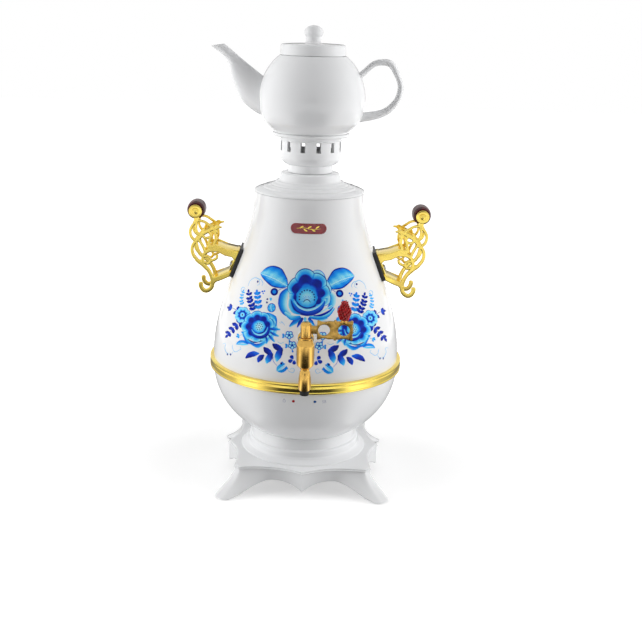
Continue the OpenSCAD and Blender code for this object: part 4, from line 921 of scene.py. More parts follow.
def plaque_object():
    """Plaque with a raised rim, bent to the shell."""
    w, h = high("plaque").x - low("plaque").x, high("plaque").z - low("plaque").z
    middle = centre("plaque")[2]
    across, up = 64, 16
    front, back = [], []
    for i in range(across + 1):
        x = -w / 2 + w * (1 - math.cos(math.pi * i / across)) / 2
        half = math.sqrt(max((h / 2) ** 2 - max(abs(x) - (w - h) / 2, 0) ** 2, 0.01))
        row_front, row_back = [], []
        for j in range(up + 1):
            v = -half * math.cos(math.pi * j / up)
            inset = min(half - abs(v), w / 2 - abs(x), h / 2 - math.hypot(max(abs(x) - (w - h) / 2, 0), v))
            rise = PLAQUE_EDGE + PLAQUE_RIM * min(1, max(0, inset / RIM_SLOPE))
            if inset > FIELD_AT:
                rise -= PLAQUE_FIELD * min(1, (inset - FIELD_AT) / FIELD_SLOPE)
            z = middle + v
            r = float(shell_radius(z))
            deep = math.sqrt(r * r - x * x)
            row_front.append((x, -deep - rise, z))
            row_back.append((x, -deep + PLAQUE_SINK, z))
        front.append(row_front)
        back.append(row_back)
    rings = [[*f, *reversed(b)] for f, b in zip(front, back)]
    return thing("plaque_face", loft(rings))


def sprig_shapes():
    """Small sprig for the middle of the plaque: a stem with five leaves."""
    middle = centre("plaque")[2]
    face = -float(shell_radius(middle)) - 0.52
    strokes = [([(-12, 0), (-5, 0.8), (4, -0.8), (12, 0)], (0.5, 0.5, 0.5, 0.3))]
    for x, lean in ((-9, 1), (-5, -1), (-1, 1), (3, -1), (7, 1)):
        strokes.append(([(x, 0), (x + 1.3, lean * 1.2), (x + 3, lean * 2.1), (x + 4, lean * 2.3)],
                        (0.4, 1.5, 1.3, 0.2)))
    made = []
    for path, widths in strokes:
        line = curve([(x, z) for x, z in path], 5)
        wide = np.interp(np.linspace(0, 1, len(line)), np.linspace(0, 1, len(widths)), widths)
        points, faces = swept(line, wide, [0.36] * len(line), 8)
        r = float(shell_radius(middle))
        points[:, 1] += face + (r - np.sqrt(r * r - points[:, 0] ** 2)) + r - shell_radius(middle + points[:, 2])
        points[:, 2] += middle
        made.append((points, faces))
    return both(*made)


# ---------- Tap ----------


def tap_object():
    up, barrel = 14.0, 8.7
    z, end = TAP_Z, NOZZLE_END
    spout = about(0, end, (0, 0), (4.4, 0), (5.1, 0.3), (5.5, 0.8), (5.9, 1.9), (6.15, 4), (6.2, 6.5), (6.1, 9.5),
                  (5.9, 13), (5.5, 16.5), (5.0, 19.3))
    body = spout + about(0, z, (4.45, -18.2), (4.25, -17.3), (4.3, -16.9), (4.65, -16.6), (4.7, -16.2),
                         (4.4, -15.9), (4.7, -15.6), (5.6, -15), (7, -13.7), (8, -12.3), (8.5, -10.6),
                         (barrel, -8), (barrel, 7.6), (8.6, 8.6), (8.2, 9.6), (7.3, 12.2))
    body += about(0, z + up, (6.85, -0.5), (6.4, 0), (0, 0))
    made = thing("tap", moved(turned(soften(body, 0.25, 2, closed=False), 96), AT_TAP))
    reach, ring = high("tap_body").y - TAP_Y, low("tap_seals").y - TAP_Y
    # Pipe with its fillet at the barrel and its collar before the seals
    pipe = [(0, 0), (7.3, 0), (7.3, 7.3), (6.7, 8.6), (6.2, 9.6), (6, 10.4), (6, ring - 3), (7.7, ring - 3),
            (8.1, ring - 2.8), (8.3, ring - 2.3), (8.3, ring - 0.3), (8, ring), (6, ring), (6, reach - 0.4),
            (5.6, reach), (0, reach)]
    lay = Matrix.Translation((0, TAP_Y, z)) @ Matrix.Rotation(math.radians(-90), 4, "X")
    joined(made, "UNION", thing("pipe", moved(turned(pipe, 64), lay)))
    # Key's bore with the outlet below it
    bore = [(0, end - 1), (3, end - 1), (3, z - 8.5), (6.2, z - 8.5), (6.2, z + up + 1), (0, z + up + 1)]
    return joined(made, "DIFFERENCE", thing("bore", moved(turned(bore, 64), AT_TAP)))


def key_shape():
    """Plug, stem and turned head of the tap's key."""
    z = TAP_Z
    head, top = z + 14 + 1.4 + 0.3, high("tap_key").z
    outline = about(0, z, (0, -8.2), (6.15, -8.2), (6.15, 7.5), (3.5, 7.5))
    outline += about(0, head, (3.5, 0), (4.7, 0), (5.15, 0.2), (5.3, 0.7), (5.3, 1.3), (4.95, 1.6), (4.95, 1.9),
                     (5.3, 2.2))
    outline += about(0, top, (5.3, -3.2), (5.2, -2.3), (4.7, -1.3), (3.7, -0.6), (2.2, -0.15), (0, 0))
    return moved(turned(outline, 72), AT_TAP)


BEAD_PROFILE = ((0, 0.58), (0.2, 0.84), (0.43, 1), (0.6, 0.83), (0.8, 0.5), (1, 0.38))


def bead_radius(t):
    return 6.3 * np.interp(t, *zip(*BEAD_PROFILE))


def bead_objects():
    """Cone-shaped bead: a core and its scales on a spiral."""
    z0, z1 = low("key_bead").z, high("key_bead").z
    x = centre("key_bead")[0]
    core = [(0, z0)] + [(float(bead_radius(t)) * 0.9, z0 + (z1 - z0 - 0.6) * t) for t in np.linspace(0, 1, 24)]
    core += [(1.6, z1 - 0.2), (0, z1)]
    body = thing("core", moved(turned(core, 48), Matrix.Translation((x, TAP_Y, 0))))
    points, outs, sizes = [], [], []
    for k in range(92):
        t = 0.03 + 0.95 * k / 91
        a = math.radians(137.508 * k)
        r = float(bead_radius(t)) * 0.93
        points.append((x + r * math.cos(a), TAP_Y + r * math.sin(a), z0 + (z1 - z0 - 1.2) * t))
        outs.append((math.cos(a) * 0.45, math.sin(a) * 0.45, 0.89))
        sizes.append(0.62 + 0.38 * r / 6)
    scales = grown("scales", scales_tree("red_acrylic"), points_mesh("spiral", points, outs, sizes),
                   Length=0.0042, Width=0.0033, Thickness=0.0021)
    return body, scales


# ---------- Side handles ----------

EYE = (43.8, 55.0)
HANDLE_GAP, SCROLL_T = 28.0, 2.5

# Strokes of the casting: points from the pad's middle, then its width at each end
SCROLL_STROKES = (
    (((43.8, 55), (42.7, 46.3), (43.2, 42.2)), 6, 3.4),
    (((43.2, 43.4), (46.9, 39.6), (49.1, 35), (49.2, 30.4), (47.2, 26), (43, 22.8)), 2.2, 2.4),
    (((43.6, 23), (46.7, 18), (47.4, 12.6), (45.8, 7.2), (42, 2.4)), 2.6, 3),
    (((42, 43.4), (43.1, 38.2), (42.6, 33.6), (40.3, 30), (37.4, 28.6)), 1.7, 2.2),
    (((42.6, 21.5), (41, 14.2), (38.4, 9.2), (35.6, 5.4)), 1.8, 2.2),
    (((40.6, 24.4), (36.4, 18.6), (33.6, 11.2)), 2, 2.4),
    (((43.4, 22.6), (40, 26.2), (37.4, 29.6), (34.2, 32), (29, 35), (22.4, 38)), 3.6, 3.6),
    (((35.6, 31.4), (35.5, 34), (35.1, 37)), 4.2, 0.9),
    (((41, 44.8), (35, 44.1), (30, 41), (26.2, 38.4)), 1.9, 2.2),
    (((21.8, 38), (16, 38.6)), 2, 0.9),
    (((23, 36), (20.7, 32.2)), 2, 0.9),
    (((30.4, 34.6), (27.6, 29.6), (29.2, 22.6), (29.6, 16)), 2, 2.4),
    (((24.6, 36.6), (22.6, 30.4), (22.2, 25), (23.8, 20)), 2.2, 2.6),
    (((36.4, 29), (33.2, 26.4), (28.6, 27.4)), 2, 2),
    (((29.6, 18.4), (26.4, 17.4), (23, 18.2)), 2.6, 2.6),
    (((35.4, -1), (36.2, 4), (34.6, 9), (30, 12.6), (26.3, 13.6)), 2.6, 3.4),
    (((34, 0), (30.4, -1.4), (27.6, 1.4), (24.6, 2.8), (21.6, 4.6), (20.8, 7.8)), 1.9, 2.2),
    (((35, 6), (31.4, 6.6), (28.4, 4.4), (27.8, 1.6)), 1.9, 1.9),
    (((43, 3), (40, 0.4), (36, -2.3), (30.6, -7.8), (27, -14.6), (25.6, -21.5), (27, -27.6), (31.2, -31),
      (35.2, -30.6), (37.8, -27), (38.4, -22.8)), 3.2, 4.2),
    (((40, 1), (36, -2.3), (31, -7.4)), 4.6, 3.6))
UPPER_ARM = ((30, 16.8), (23.5, 20.4), (10.4, 15), (-2.35, 12.1), (0.8, 3.75), (3.2, 3.8), (5.4, 6.4), (12.8, 7.8),
             (20.2, 11.8), (28.6, 11.2))
LOWER_ARM = ((27.5, -14), (24.4, -16.2), (17.7, -13.6), (6, -9), (5.6, -9.2), (7.5, -14.9), (15.6, -18.8),
             (21.8, -21.2), (25, -25), (28, -22))


def disc_shape(x, z, r, depth, steps=40):
    return plate_of(about(x, z, *circle(r, steps)), depth)


def scroll_mesh():
    """One scroll plate about y = 0, its strokes run together as in a casting."""
    shapes = [disc_shape(EYE[0], EYE[1], 6.6, SCROLL_T), disc_shape(21.8, 38, 2.6, SCROLL_T, 20)]
    for points, w0, w1 in SCROLL_STROKES:
        line = curve(points, 6)
        width = np.linspace(w0, w1, len(line)) + 0.75
        ends = tangents(line)
        line = np.vstack([line[0] - ends[0] * w0 * 0.3, line, line[-1] + ends[-1] * w1 * 0.3])
        width = np.concatenate([[w0 * 0.55], width, [w1 * 0.55]])
        shapes.append(swept(line, width, [SCROLL_T] * len(line), 20, 3.2))
    shapes += [plate_of(arm, SCROLL_T) for arm in (UPPER_ARM, LOWER_ARM)]
    made = thing("scroll", both(*shapes))
    step = made.modifiers.new("cast", "REMESH")
    step.mode, step.voxel_size = "VOXEL", 0.00034
    settle(made)
    step = made.modifiers.new("polish", "SMOOTH")
    step.factor, step.iterations = 0.5, 3
    settle(made)
    data = made.data.copy()
    discard(made)
    return data


def sided(data, name, side, y):
    """Copy of a mesh drawn from the pad's middle, at the left or right handle."""
    x = float(shell_radius(HANDLE_Z))
    made = thing(name, data.copy())
    made.data.transform(Matrix.Translation((x * MM, y * MM, HANDLE_Z * MM)))
    if side < 0:
        made.data.transform(Matrix.Scale(-1, 4, (1, 0, 0)))
        made.data.flip_normals()
    return made


def grip_shape(waist):
    half = HANDLE_GAP / 2
    outline = [(2.2, -half)]
    for k in range(49):
        t = 2 * k / 48 - 1
        r = waist + (9.9 - waist) * math.sqrt(1 - t * t)
        d = abs(abs(t) * half - 10.6)
        if d < 0.7:
            r -= 0.45 * (1 - (d / 0.7) ** 2)
        outline.append((r, half * t))
    return outline + [(2.2, half)]


def handle_place(side):
    x = float(shell_radius(HANDLE_Z))
    return (Matrix.Translation((side * (x + EYE[0]), 0, HANDLE_Z + EYE[1]))
            @ Matrix.Rotation(math.radians(90), 4, "X"))


def bolt_shapes(side):
    """Plain domed head, shank and cap nut, along the grip's axis."""
    out = HANDLE_GAP / 2 + SCROLL_T + 1.2
    head = about(0, out, (0, 0), (3.2, 0), (3.4, 0.25), (3.35, 0.9), (2.9, 1.6), (2.1, 2.15), (1.1, 2.42), (0, 2.5))
    nut = about(0, -out, (0, 0), (3.4, 0), (3.6, -0.2), (3.6, -2), (3.2, -2.9), (2.3, -3.7), (1.2, -4.25),
                (0, -4.4))
    shank = [(0, -out - 1), (2, -out - 1), (2, out + 1), (0, out + 1)]
    return moved(both(turned(head, 32), turned(nut, 32), turned(shank, 24)), handle_place(side))


def washer_shapes(side):
    out = HANDLE_GAP / 2 + SCROLL_T
    return moved(both(*(turned(soften([(2.2, a), (7, a), (7, b), (2.2, b)], 0.4, 3), 48)
                        for a, b in ((out, out + 1.2), (-out - 1.2, -out)))), handle_place(side))


# ---------- Painting on the shell ----------

# The drawing's own units: one is about a ninth of a millimetre, and its middle faces the front
UNIT_X, UNIT_Z, MID_X, MID_Y = 0.118, 0.1105, 745, 365
MIDDLE_Z = TAP_Z + 38.5
# Places away from the front sit lower, by this share of how far the shell falls back there
DROOP = 0.3
# How far the lowest stroke stands out of the shell and how deep each goes into it, in millimetres
STANDS, SINKS = 0.06, -0.25
# About one unit in millimetres, for the bristle marks
UNIT = 0.11


def on_shell(sheet, lift):
    """Places of the flat drawing laid on the shell, at a lift in millimetres along its normal."""
    u, v = (sheet[..., 0] - MID_X) * UNIT_X, (MID_Y - sheet[..., 1]) * UNIT_Z
    z = MIDDLE_Z + v
    for _ in range(8):
        r = shell_radius(z)
        z = MIDDLE_Z + v - DROOP * (r - np.sqrt(np.maximum(r * r - u * u, 0)))
    r = shell_radius(z)
    a = np.arcsin(np.clip(u / r, -0.995, 0.995))
    normal = np.stack([np.sin(a), -np.cos(a), shell_radius(z - 0.5) - shell_radius(z + 0.5)], -1)
    normal /= np.linalg.norm(normal, axis=-1, keepdims=True)
    return np.stack([r * np.sin(a), -r * np.cos(a), z], -1) + normal * lift, normal


def spread(values, t):
    """Values evenly spread over 0 to 1, read at t."""
    values = np.atleast_1d(values)
    return np.interp(t, np.linspace(0, 1, len(values)), values)


class Painting:
    """Brush work gathered for one mesh: thin closed patches, each with the load of its paint."""

    def __init__(self):
        self.points, self.loads, self.along, self.faces, self.dots = [], [], [], [], []
        self.start, self.step = 0, bpy.context.scene.paint_look.thickness / MM

    def patch(self, sheet, load, along, layer, round_=False):
        """A grid of places, closed round when its columns meet."""
        rows, cols = sheet.shape[:2]
        count = rows * cols
        for lift in (STANDS + self.step * layer, SINKS):
            self.points.append(on_shell(sheet, lift)[0].reshape(-1, 3))
            self.loads.append(np.broadcast_to(load, (rows, cols)).ravel())
            self.along.append(np.asarray(along).reshape(-1, 2))
        n = self.start + np.arange(count).reshape(rows, cols)
        if round_:
            n = np.hstack([n, n[:, :1]])
        for grid, flip in ((n, False), (n + count, True)):
            quads = np.stack([grid[:-1, :-1], grid[:-1, 1:], grid[1:, 1:], grid[1:, :-1]], -1).reshape(-1, 4)
            self.faces += (quads[:, ::-1] if flip else quads).tolist()
        rims = [n[-1]] if round_ else [n[-1], n[0][::-1], n[:, 0], n[:, -1][::-1]]
        for rim in rims:
            for a, b in zip(rim[:-1], rim[1:]):
                self.faces.append([int(a), int(b), int(b) + count, int(a) + count])
        if round_:
            middle = n[0][:-1]
            self.faces += [middle[::-1].tolist(), (middle + count).tolist()]
        self.start += 2 * count

    def stroke(self, path, widths, loads, layer=1, edge=0.0, across=8, steps=6):
        """One brush stroke with round ends. The edge value darkens one side and thins the other."""
        line = curve(path, steps)
        run = np.concatenate([[0], np.cumsum(np.linalg.norm(np.diff(line, axis=0), axis=1))])
        count = max(12, int(run[-1] / 9))
        t = (1 - np.cos(np.linspace(0, math.pi, count))) / 2 * 0.6 + np.linspace(0, 1, count) * 0.4
        line = np.stack([np.interp(t * run[-1], run, line[:, k]) for k in (0, 1)], -1)
        way = tangents(line)
        half = spread(widths, t) / 2
        near = np.minimum(np.minimum(t, 1 - t) * run[-1] / np.maximum(half, 1e-6), 1)
        half = np.maximum(half * np.sqrt(np.maximum(1 - (1 - near) ** 2, 0)), 0.4)
        s = np.linspace(-1, 1, across + 1)
        sheet = line[:, None] + np.stack([-way[:, 1], way[:, 0]], -1)[:, None] * (half[:, None] * s)[..., None]
        load = spread(loads, t)[:, None] + edge * s[None]
        along = np.stack([np.broadcast_to(t[:, None] * run[-1] * UNIT, load.shape),
                          half[:, None] * s * UNIT + (self.start % 97)], -1)
        self.patch(sheet, np.clip(load, 0.02, 1), along, layer)

    def bloom(self, centre, edge, load, layer=0, rings=30, turns=144):
        """A round patch. Its edge is a radius, or gives one at an angle; load gives the paint there."""
        a = np.linspace(0, 2 * math.pi, turns, endpoint=False)
        share = np.linspace(0.02, 1, rings)[:, None]
        reach = share * (edge(a) if callable(edge) else np.full(turns, float(edge)))[None]
        sheet = np.stack([centre[0] + reach * np.cos(a), centre[1] - reach * np.sin(a)], -1)
        along = np.stack([reach * UNIT, np.broadcast_to(a * 9, reach.shape)], -1)
        self.patch(sheet, np.clip(load(share, a[None]), 0.02, 1), along, layer, True)

    def drop(self, a, b, width, loads, layer=1, edge=0.0):
        """A drop from its pointed end to its round end."""
        self.stroke([a, ((a[0] + b[0]) / 2, (a[1] + b[1]) / 2), b], (0.12 * width, width * 0.75, width, width),
                    loads, layer, edge, across=6, steps=3)

    def leaf(self, a, b, width, loads, layer=1, bend=0.12):
        """A lens-shaped leaf between two points, bent a little to one side."""
        mid = ((a[0] + b[0]) / 2 + bend * (b[1] - a[1]), (a[1] + b[1]) / 2 - bend * (b[0] - a[0]))
        self.stroke([a, mid, b], (0.12 * width, width, width, 0.12 * width), loads, layer, 0.08, across=6, steps=5)

    def dot(self, x, y, size=1.0, layer=3):
        self.dots.append((x, y, size, layer))

    def line(self, path, width, load, layer=2):
        self.stroke(path, (width * 0.5, width, width * 0.5), (load,), layer, across=3)

    def finish(self, name):
        """Makes the piece of all patches, and one of all dots."""
        data = bpy.data.meshes.new(name)
        data.from_pydata((np.vstack(self.points) * MM).tolist(), [], self.faces)
        with editing(data) as work:
            bmesh.ops.recalc_face_normals(work, faces=work.faces)
        stored(data, "load", np.concatenate(self.loads))
        corners = np.empty(len(data.loops), np.int32)
        data.loops.foreach_get("vertex_index", corners)
        data.uv_layers.new(name="stroke").data.foreach_set(
            "uv", np.vstack(self.along)[corners].astype(np.float32).ravel())
        finished(thing(name, data), "cobalt_underglaze", sharp=40)
        if self.dots:
            sheet = np.array([d[:2] for d in self.dots], float)
            lifts = np.array([STANDS + self.step * d[3] for d in self.dots])[:, None]
            points, outs = on_shell(sheet, lifts)
            start = points_mesh(name + "_dots", points, outs, [d[2] for d in self.dots])
            dots = grown(name + "_dots", beads_tree("cobalt_underglaze"), start, Radius=0.00075, Height=0.16)
            stored(dots.data, "load", np.full(len(dots.data.vertices), 0.97))
            dots.data.uv_layers.new(name="stroke")
            finished(dots, "cobalt_underglaze")


def lobed(lobes, notch=0.14):
    """Edge and fold of a flower from its petals' angles in degrees and radii."""
    lobes = sorted((a % 360, r) for a, r in lobes)
    angles = np.radians([lobes[-1][0] - 360] + [a for a, _ in lobes] + [lobes[0][0] + 360])
    radii = np.array([lobes[-1][1]] + [r for _, r in lobes] + [lobes[0][1]], float)

    def fold(a):
        i = np.clip(np.searchsorted(angles, a, "right") - 1, 0, len(angles) - 2)
        t = (a - angles[i]) / (angles[i + 1] - angles[i])
        return np.abs(np.cos(math.pi * t)), radii[i] + (radii[i + 1] - radii[i]) * t * t * (3 - 2 * t)

    def edge(a):
        d, r = fold(a)
        return r * (1 - notch + notch * d ** 0.55)

    return edge, lambda a: fold(a)[0]


def step_up(x, at, width):
    return np.clip((x - at) / width + 0.5, 0, 1)


def rose_load(fold, heart, ring):
    """Rose seen from the front: a dark ring round the heart that reaches into each petal, then pale edges."""
    def load(share, a):
        d = fold(a)
        out = ring + 0.05 * d ** 1.5
        value = 0.86 + 0.1 * d - 0.4 * (1 - step_up(share, heart + 0.04, 0.1))
        value = value - 0.5 * step_up(share, out, 0.06) - 0.27 * step_up(share, out + 0.12, 0.16)
        value = value + 0.3 * (1 - step_up(d, 0.1, 0.16)) * step_up(share, out, 0.05)
        return value + 0.85 * step_up(share, 0.972, 0.01) * step_up(np.sin(a), 0.2, 0.3)
    return load


def facing(side):
    """Lays a path on one side of the shell: as it is drawn at -1, and mirrored at 1."""
    return lambda *path: path if side < 0 else [(2 * MID_X - p[0], *p[1:]) for p in path]


def strokes(art, side, table):
    """Strokes from rows of path, widths, loads, layer and edge."""
    at = facing(side)
    for path, widths, loads, layer, edge in table:
        art.stroke(at(*path), widths, loads, layer, edge * -side)


def fern(art, stem, pairs, size, loads):
    """A stem with pairs of leaves along it and one at its tip."""
    line = curve(stem, 8)
    ways = tangents(line)
    art.line(stem, 4, loads[-1], 0)
    for t in np.linspace(0.1, 0.85, pairs):
        i = int(t * (len(line) - 1))
        long = size * (1.22 - 0.3 * t)
        for turn in (-0.85, 0.85):
            way = np.array([ways[i][0] * math.cos(turn) - ways[i][1] * math.sin(turn),
                            ways[i][0] * math.sin(turn) + ways[i][1] * math.cos(turn)])
            art.leaf(line[i] + 3 * way, line[i] + long * way, long * 0.6, loads, 1, 0.12 * turn)
    art.leaf(line[-1], line[-1] + 0.9 * size * ways[-1], size * 0.5, loads, 1)


def paint_centre():
    """The large rose that faces the front, with the petals folded under it."""
    art = Painting()
    # Tails and back petals, lowest layer first
    strokes(art, -1, (
        (((700, 540), (640, 590), (602, 628)), (30, 44, 16), (0.75, 0.6, 0.35), 0, 0.3),
        (((715, 545), (684, 600), (668, 632)), (22, 30, 8), (0.95, 0.85, 0.7), 0, 0.1),
        (((735, 540), (736, 562), (738, 582)), (24, 26, 8), (0.3, 0.15), 0, 0.1),
        (((762, 545), (792, 584), (818, 614)), (22, 34, 10), (0.8, 0.55, 0.3), 0, -0.25),
        (((800, 540), (870, 556), (930, 540)), (20, 30, 12), (0.2, 0.3, 0.35), 0, -0.2),
        (((588, 296), (548, 350), (538, 430), (560, 492), (612, 534)), (30, 74, 78, 62, 40), (0.42, 0.36, 0.4),
         0, 0.42),
        (((930, 310), (965, 360), (962, 420), (930, 462)), (26, 58, 56, 30), (0.3, 0.25, 0.4), 0, 0.3),
        (((556, 500), (620, 548), (700, 540)), (20, 44, 28), (0.2, 0.3, 0.6), 0.5, 0.2),
        (((985, 452), (930, 512), (850, 540), (766, 540)), (14, 40, 40, 22), (0.2, 0.3, 0.5), 0.5, -0.3)))
    edge, fold = lobed(((100, 196), (64, 250), (24, 222), (-12, 205), (-50, 150), (180, 150), (130, 190)), 0.1)
    art.bloom((747, 357), edge, lambda s, a: 0.45 - 0.37 * step_up(s, 0.86, 0.12)
              + 0.85 * step_up(s, 0.975, 0.01), 1.5, 34, 200)
    edge, fold = lobed(((98, 240), (50, 226), (12, 203), (-24, 166), (-60, 158), (-96, 160), (-132, 154),
                        (-168, 152), (152, 192)), 0.13)
    art.bloom((747, 357), edge, rose_load(fold, 0.4, 0.73), 2.5, 48, 240)
    # Heart with its stamens and a fan below them
    art.bloom((745, 370), lambda a: 91 + 3 * np.cos(9 * a), lambda s, a: 0.05 + 0.45 * s ** 1.6, 3.5, 16, 90)
    for i in range(11):
        a = math.radians(-14 + 208 * i / 10)
        art.dot(746 + 66 * math.cos(a), 372 - 66 * math.sin(a), 1.15, 4.5)
        art.line([(746 + r * math.cos(a), 396 - r * math.sin(a) * 0.95) for r in (18, 34, 52)], 4.5, 0.42, 4.5)
    art.line([(716, 412), (730, 394), (747, 388), (764, 394), (778, 412)], 9, 0.97, 5)
    # Petals folded up in front
    strokes(art, -1, (
        (((606, 388), (652, 470), (726, 500), (806, 494), (868, 458), (902, 392)), (14, 44, 54, 54, 40, 12),
         (0.6, 0.76, 0.8, 0.76, 0.6), 4.5, 0.16),
        (((632, 386), (672, 446), (740, 476), (808, 464), (866, 424), (896, 380)), (6, 15, 20, 20, 15, 7),
         (0.3, 0.13, 0.1, 0.13, 0.3), 5.5, -0.1),
        (((646, 388), (690, 441), (747, 461), (806, 444), (842, 398)), (4, 11, 13, 11, 4), (0.93,), 6.5, 0),
        (((598, 380), (603, 443), (634, 494), (694, 516)), (10, 28, 28, 10), (0.22, 0.3, 0.5), 5.5, -0.12),
        (((613, 402), (632, 456), (670, 496), (740, 522)), (4, 9, 9, 4), (0.96,), 6.5, 0),
        (((846, 508), (912, 464), (962, 428)), (6, 13, 6), (0.08,), 5.5, 0),
        (((804, 526), (872, 518), (940, 482), (976, 442)), (8, 20, 18, 6), (0.85, 0.9, 0.7), 5, 0)))
    art.finish("painting_centre")


def paint_leaves(side):
    """The big leaf beside the large rose, with its berry and buds."""
    art, at = Painting(), facing(side)
    # Blade as a grid between its upper and its lower edge
    upper = curve(at((335, 160), (385, 112), (450, 96), (520, 122), (556, 176), (575, 220), (582, 275)), 6)
    lower = curve(at((336, 164), (352, 196), (392, 240), (440, 278), (500, 292), (545, 290), (580, 280)), 6)
    s = np.linspace(0, 1, 27)[None]
    sheet = upper[:, None] * (1 - s[0])[None, :, None] + lower[:, None] * s[0][None, :, None]
    t = np.linspace(0, 1, len(upper))[:, None]
    middle = np.abs(s - 0.5)
    load = 0.14 + 0.55 * (2 * middle) ** 1.2 + 0.35 * step_up(middle, 0.45, 0.05) + 0.05 * np.sin(t * 34 + 7 * s)
    load = load + 0.1 * t * step_up(0.5 - s, 0, 0.1)
    art.patch(sheet, np.clip(load, 0.1, 1), np.stack(np.broadcast_arrays(t * 30, s * 14), -1), 0)
    art.line(at((338, 162), (450, 205), (520, 243), (580, 276)), 9, 0.04, 1)
    for k in range(6):
        x, y = 375 + 32 * k, 176 + 15 * k
        art.line(at((x, y), (x + 14, y - 26), (x + 36, y - 52 + 4 * k)), 3.4, 0.3, 1)
        art.line(at((x, y), (x + 20, y + 22), (x + 44, y + 42 - 3 * k)), 3.4, 0.15, 1)
    berry = at((463, 324))[0]
    art.bloom(berry, 33, lambda q, a: 0.5 + 0.48 * step_up(q, 0.5, 0.12), 0, 12, 48)
    art.line(at((490, 318), (520, 300), (560, 290)), 4, 0.8, 1)
    # Bud with its drops
    art.bloom(at((443, 463))[0], lambda a: 36 + 4 * np.sin(a) ** 2,
              lambda q, a: 0.35 + 0.5 * step_up(q, 0.86, 0.1) + 0.1 * np.sin(5 * a) * q, 1, 12, 48)
    art.line(at((443, 430), (436, 460), (445, 492)), 10, 0.12, 2)
    for a, b, w, load in (((412, 392), (398, 384), 20, 0.98), ((410, 412), (394, 420), 20, 0.98),
                          ((436, 404), (434, 374), 22, 0.3), ((366, 326), (352, 316), 16, 0.7),
                          ((370, 324), (382, 312), 14, 0.6), ((367, 330), (366, 344), 12, 0.6)):
        art.drop(at(a)[0], at(b)[0], w, (load,), 2)
    art.finish("painting_leaf_" + WORDS[side])


def paint_side(side):
    """Side rose with its small flower, sprays and edge leaves."""
    art, at = Painting(), facing(side)
    for stem, pairs, size, loads in (
            (((292, 494), (268, 440), (246, 385), (238, 330)), 5, 40, (0.85, 0.98)),
            (((328, 484), (324, 430), (318, 375), (314, 338)), 4, 42, (0.42, 0.68)),
            (((184, 440), (170, 400), (172, 350), (184, 316)), 5, 24, (0.3, 0.4)),
            (((192, 578), (142, 610), (94, 655), (52, 700)), 4, 50, (0.8, 0.98)),
            (((156, 506), (124, 482), (98, 464), (72, 456)), 2, 48, (0.72, 0.98)),
            (((216, 690), (182, 705), (156, 714)), 2, 32, (0.3, 0.5))):
        fern(art, at(*stem), pairs, size, loads)
    strokes(art, side, (
        (((245, 792), (205, 768), (160, 772), (132, 797)), (8, 26, 26, 4), (0.6, 0.4), 0, 0.1),
        (((245, 794), (200, 794), (165, 792), (134, 797)), (6, 18, 16, 4), (0.18, 0.3), 1, 0),
        # Folds under the rose
        (((300, 720), (370, 750), (440, 704), (470, 640), (455, 560)), (24, 64, 66, 62, 26), (0.45, 0.4), 2, -0.35),
        (((396, 512), (462, 556), (480, 630)), (24, 58, 26), (0.25, 0.35), 2, -0.3),
        (((262, 778), (330, 804), (402, 768)), (14, 40, 18), (0.7, 0.55, 0.3), 2, -0.25),
        (((205, 716), (240, 765), (300, 782)), (14, 38, 20), (0.5, 0.4), 2, 0.3),
        (((236, 744), (300, 772), (380, 752)), (6, 14, 6), (0.95,), 3, 0)))
    flower = at((184, 524))[0]
    edge, fold = lobed([(45 * k + 20, 74) for k in range(8)], 0.16)
    art.bloom(flower, edge, rose_load(fold, 0.3, 0.5), 2, 18, 120)
    art.bloom(flower, 22, lambda q, b: 0.06 + 0.3 * q ** 2, 5, 8, 36)
    art.dot(flower[0], flower[1], 1.4, 6)
    # The rose's face, its heart and the petals folded up in front
    lobes = ((100, 146), (58, 142), (18, 138), (-22, 136), (-60, 132), (-100, 136), (-140, 148), (178, 158),
             (138, 154))
    edge, fold = lobed([(a if side < 0 else 180 - a, r) for a, r in lobes], 0.11)
    art.bloom(at((335, 633))[0], edge, rose_load(fold, 0.36, 0.7), 5, 36, 200)
    heart = at((340, 630))[0]
    art.bloom(heart, lambda a: 54 + 2 * np.cos(7 * a), lambda q, a: 0.02 + 0.42 * q ** 1.8, 6, 12, 60)
    for count, r in ((5, 12), (9, 28)):
        for i in range(count):
            a = 2 * math.pi * i / count
            art.dot(heart[0] + r * math.cos(a), heart[1] + r * math.sin(a), 0.75, 7)
    strokes(art, side, (
        (((262, 660), (290, 706), (352, 724), (410, 694), (432, 620)), (8, 26, 32, 28, 8), (0.8, 0.93, 0.8),
         8, 0.1),
        (((272, 654), (302, 692), (352, 704), (396, 680), (416, 632)), (6, 13, 16, 13, 6), (0.3, 0.12, 0.35), 9, 0),
        (((430, 648), (482, 650), (526, 652)), (12, 26, 14), (0.95, 0.6, 0.2), 6, 0.15),
        (((436, 676), (482, 700), (516, 712)), (10, 26, 14), (0.95, 0.6, 0.2), 6, 0.15),
        (((422, 700), (458, 740), (480, 766)), (10, 26, 13), (0.95, 0.6, 0.2), 6, 0.15),
        (((400, 716), (412, 758), (404, 784)), (10, 22, 11), (0.95, 0.6, 0.25), 6, 0.15)))
    art.finish("painting_side_" + WORDS[side])


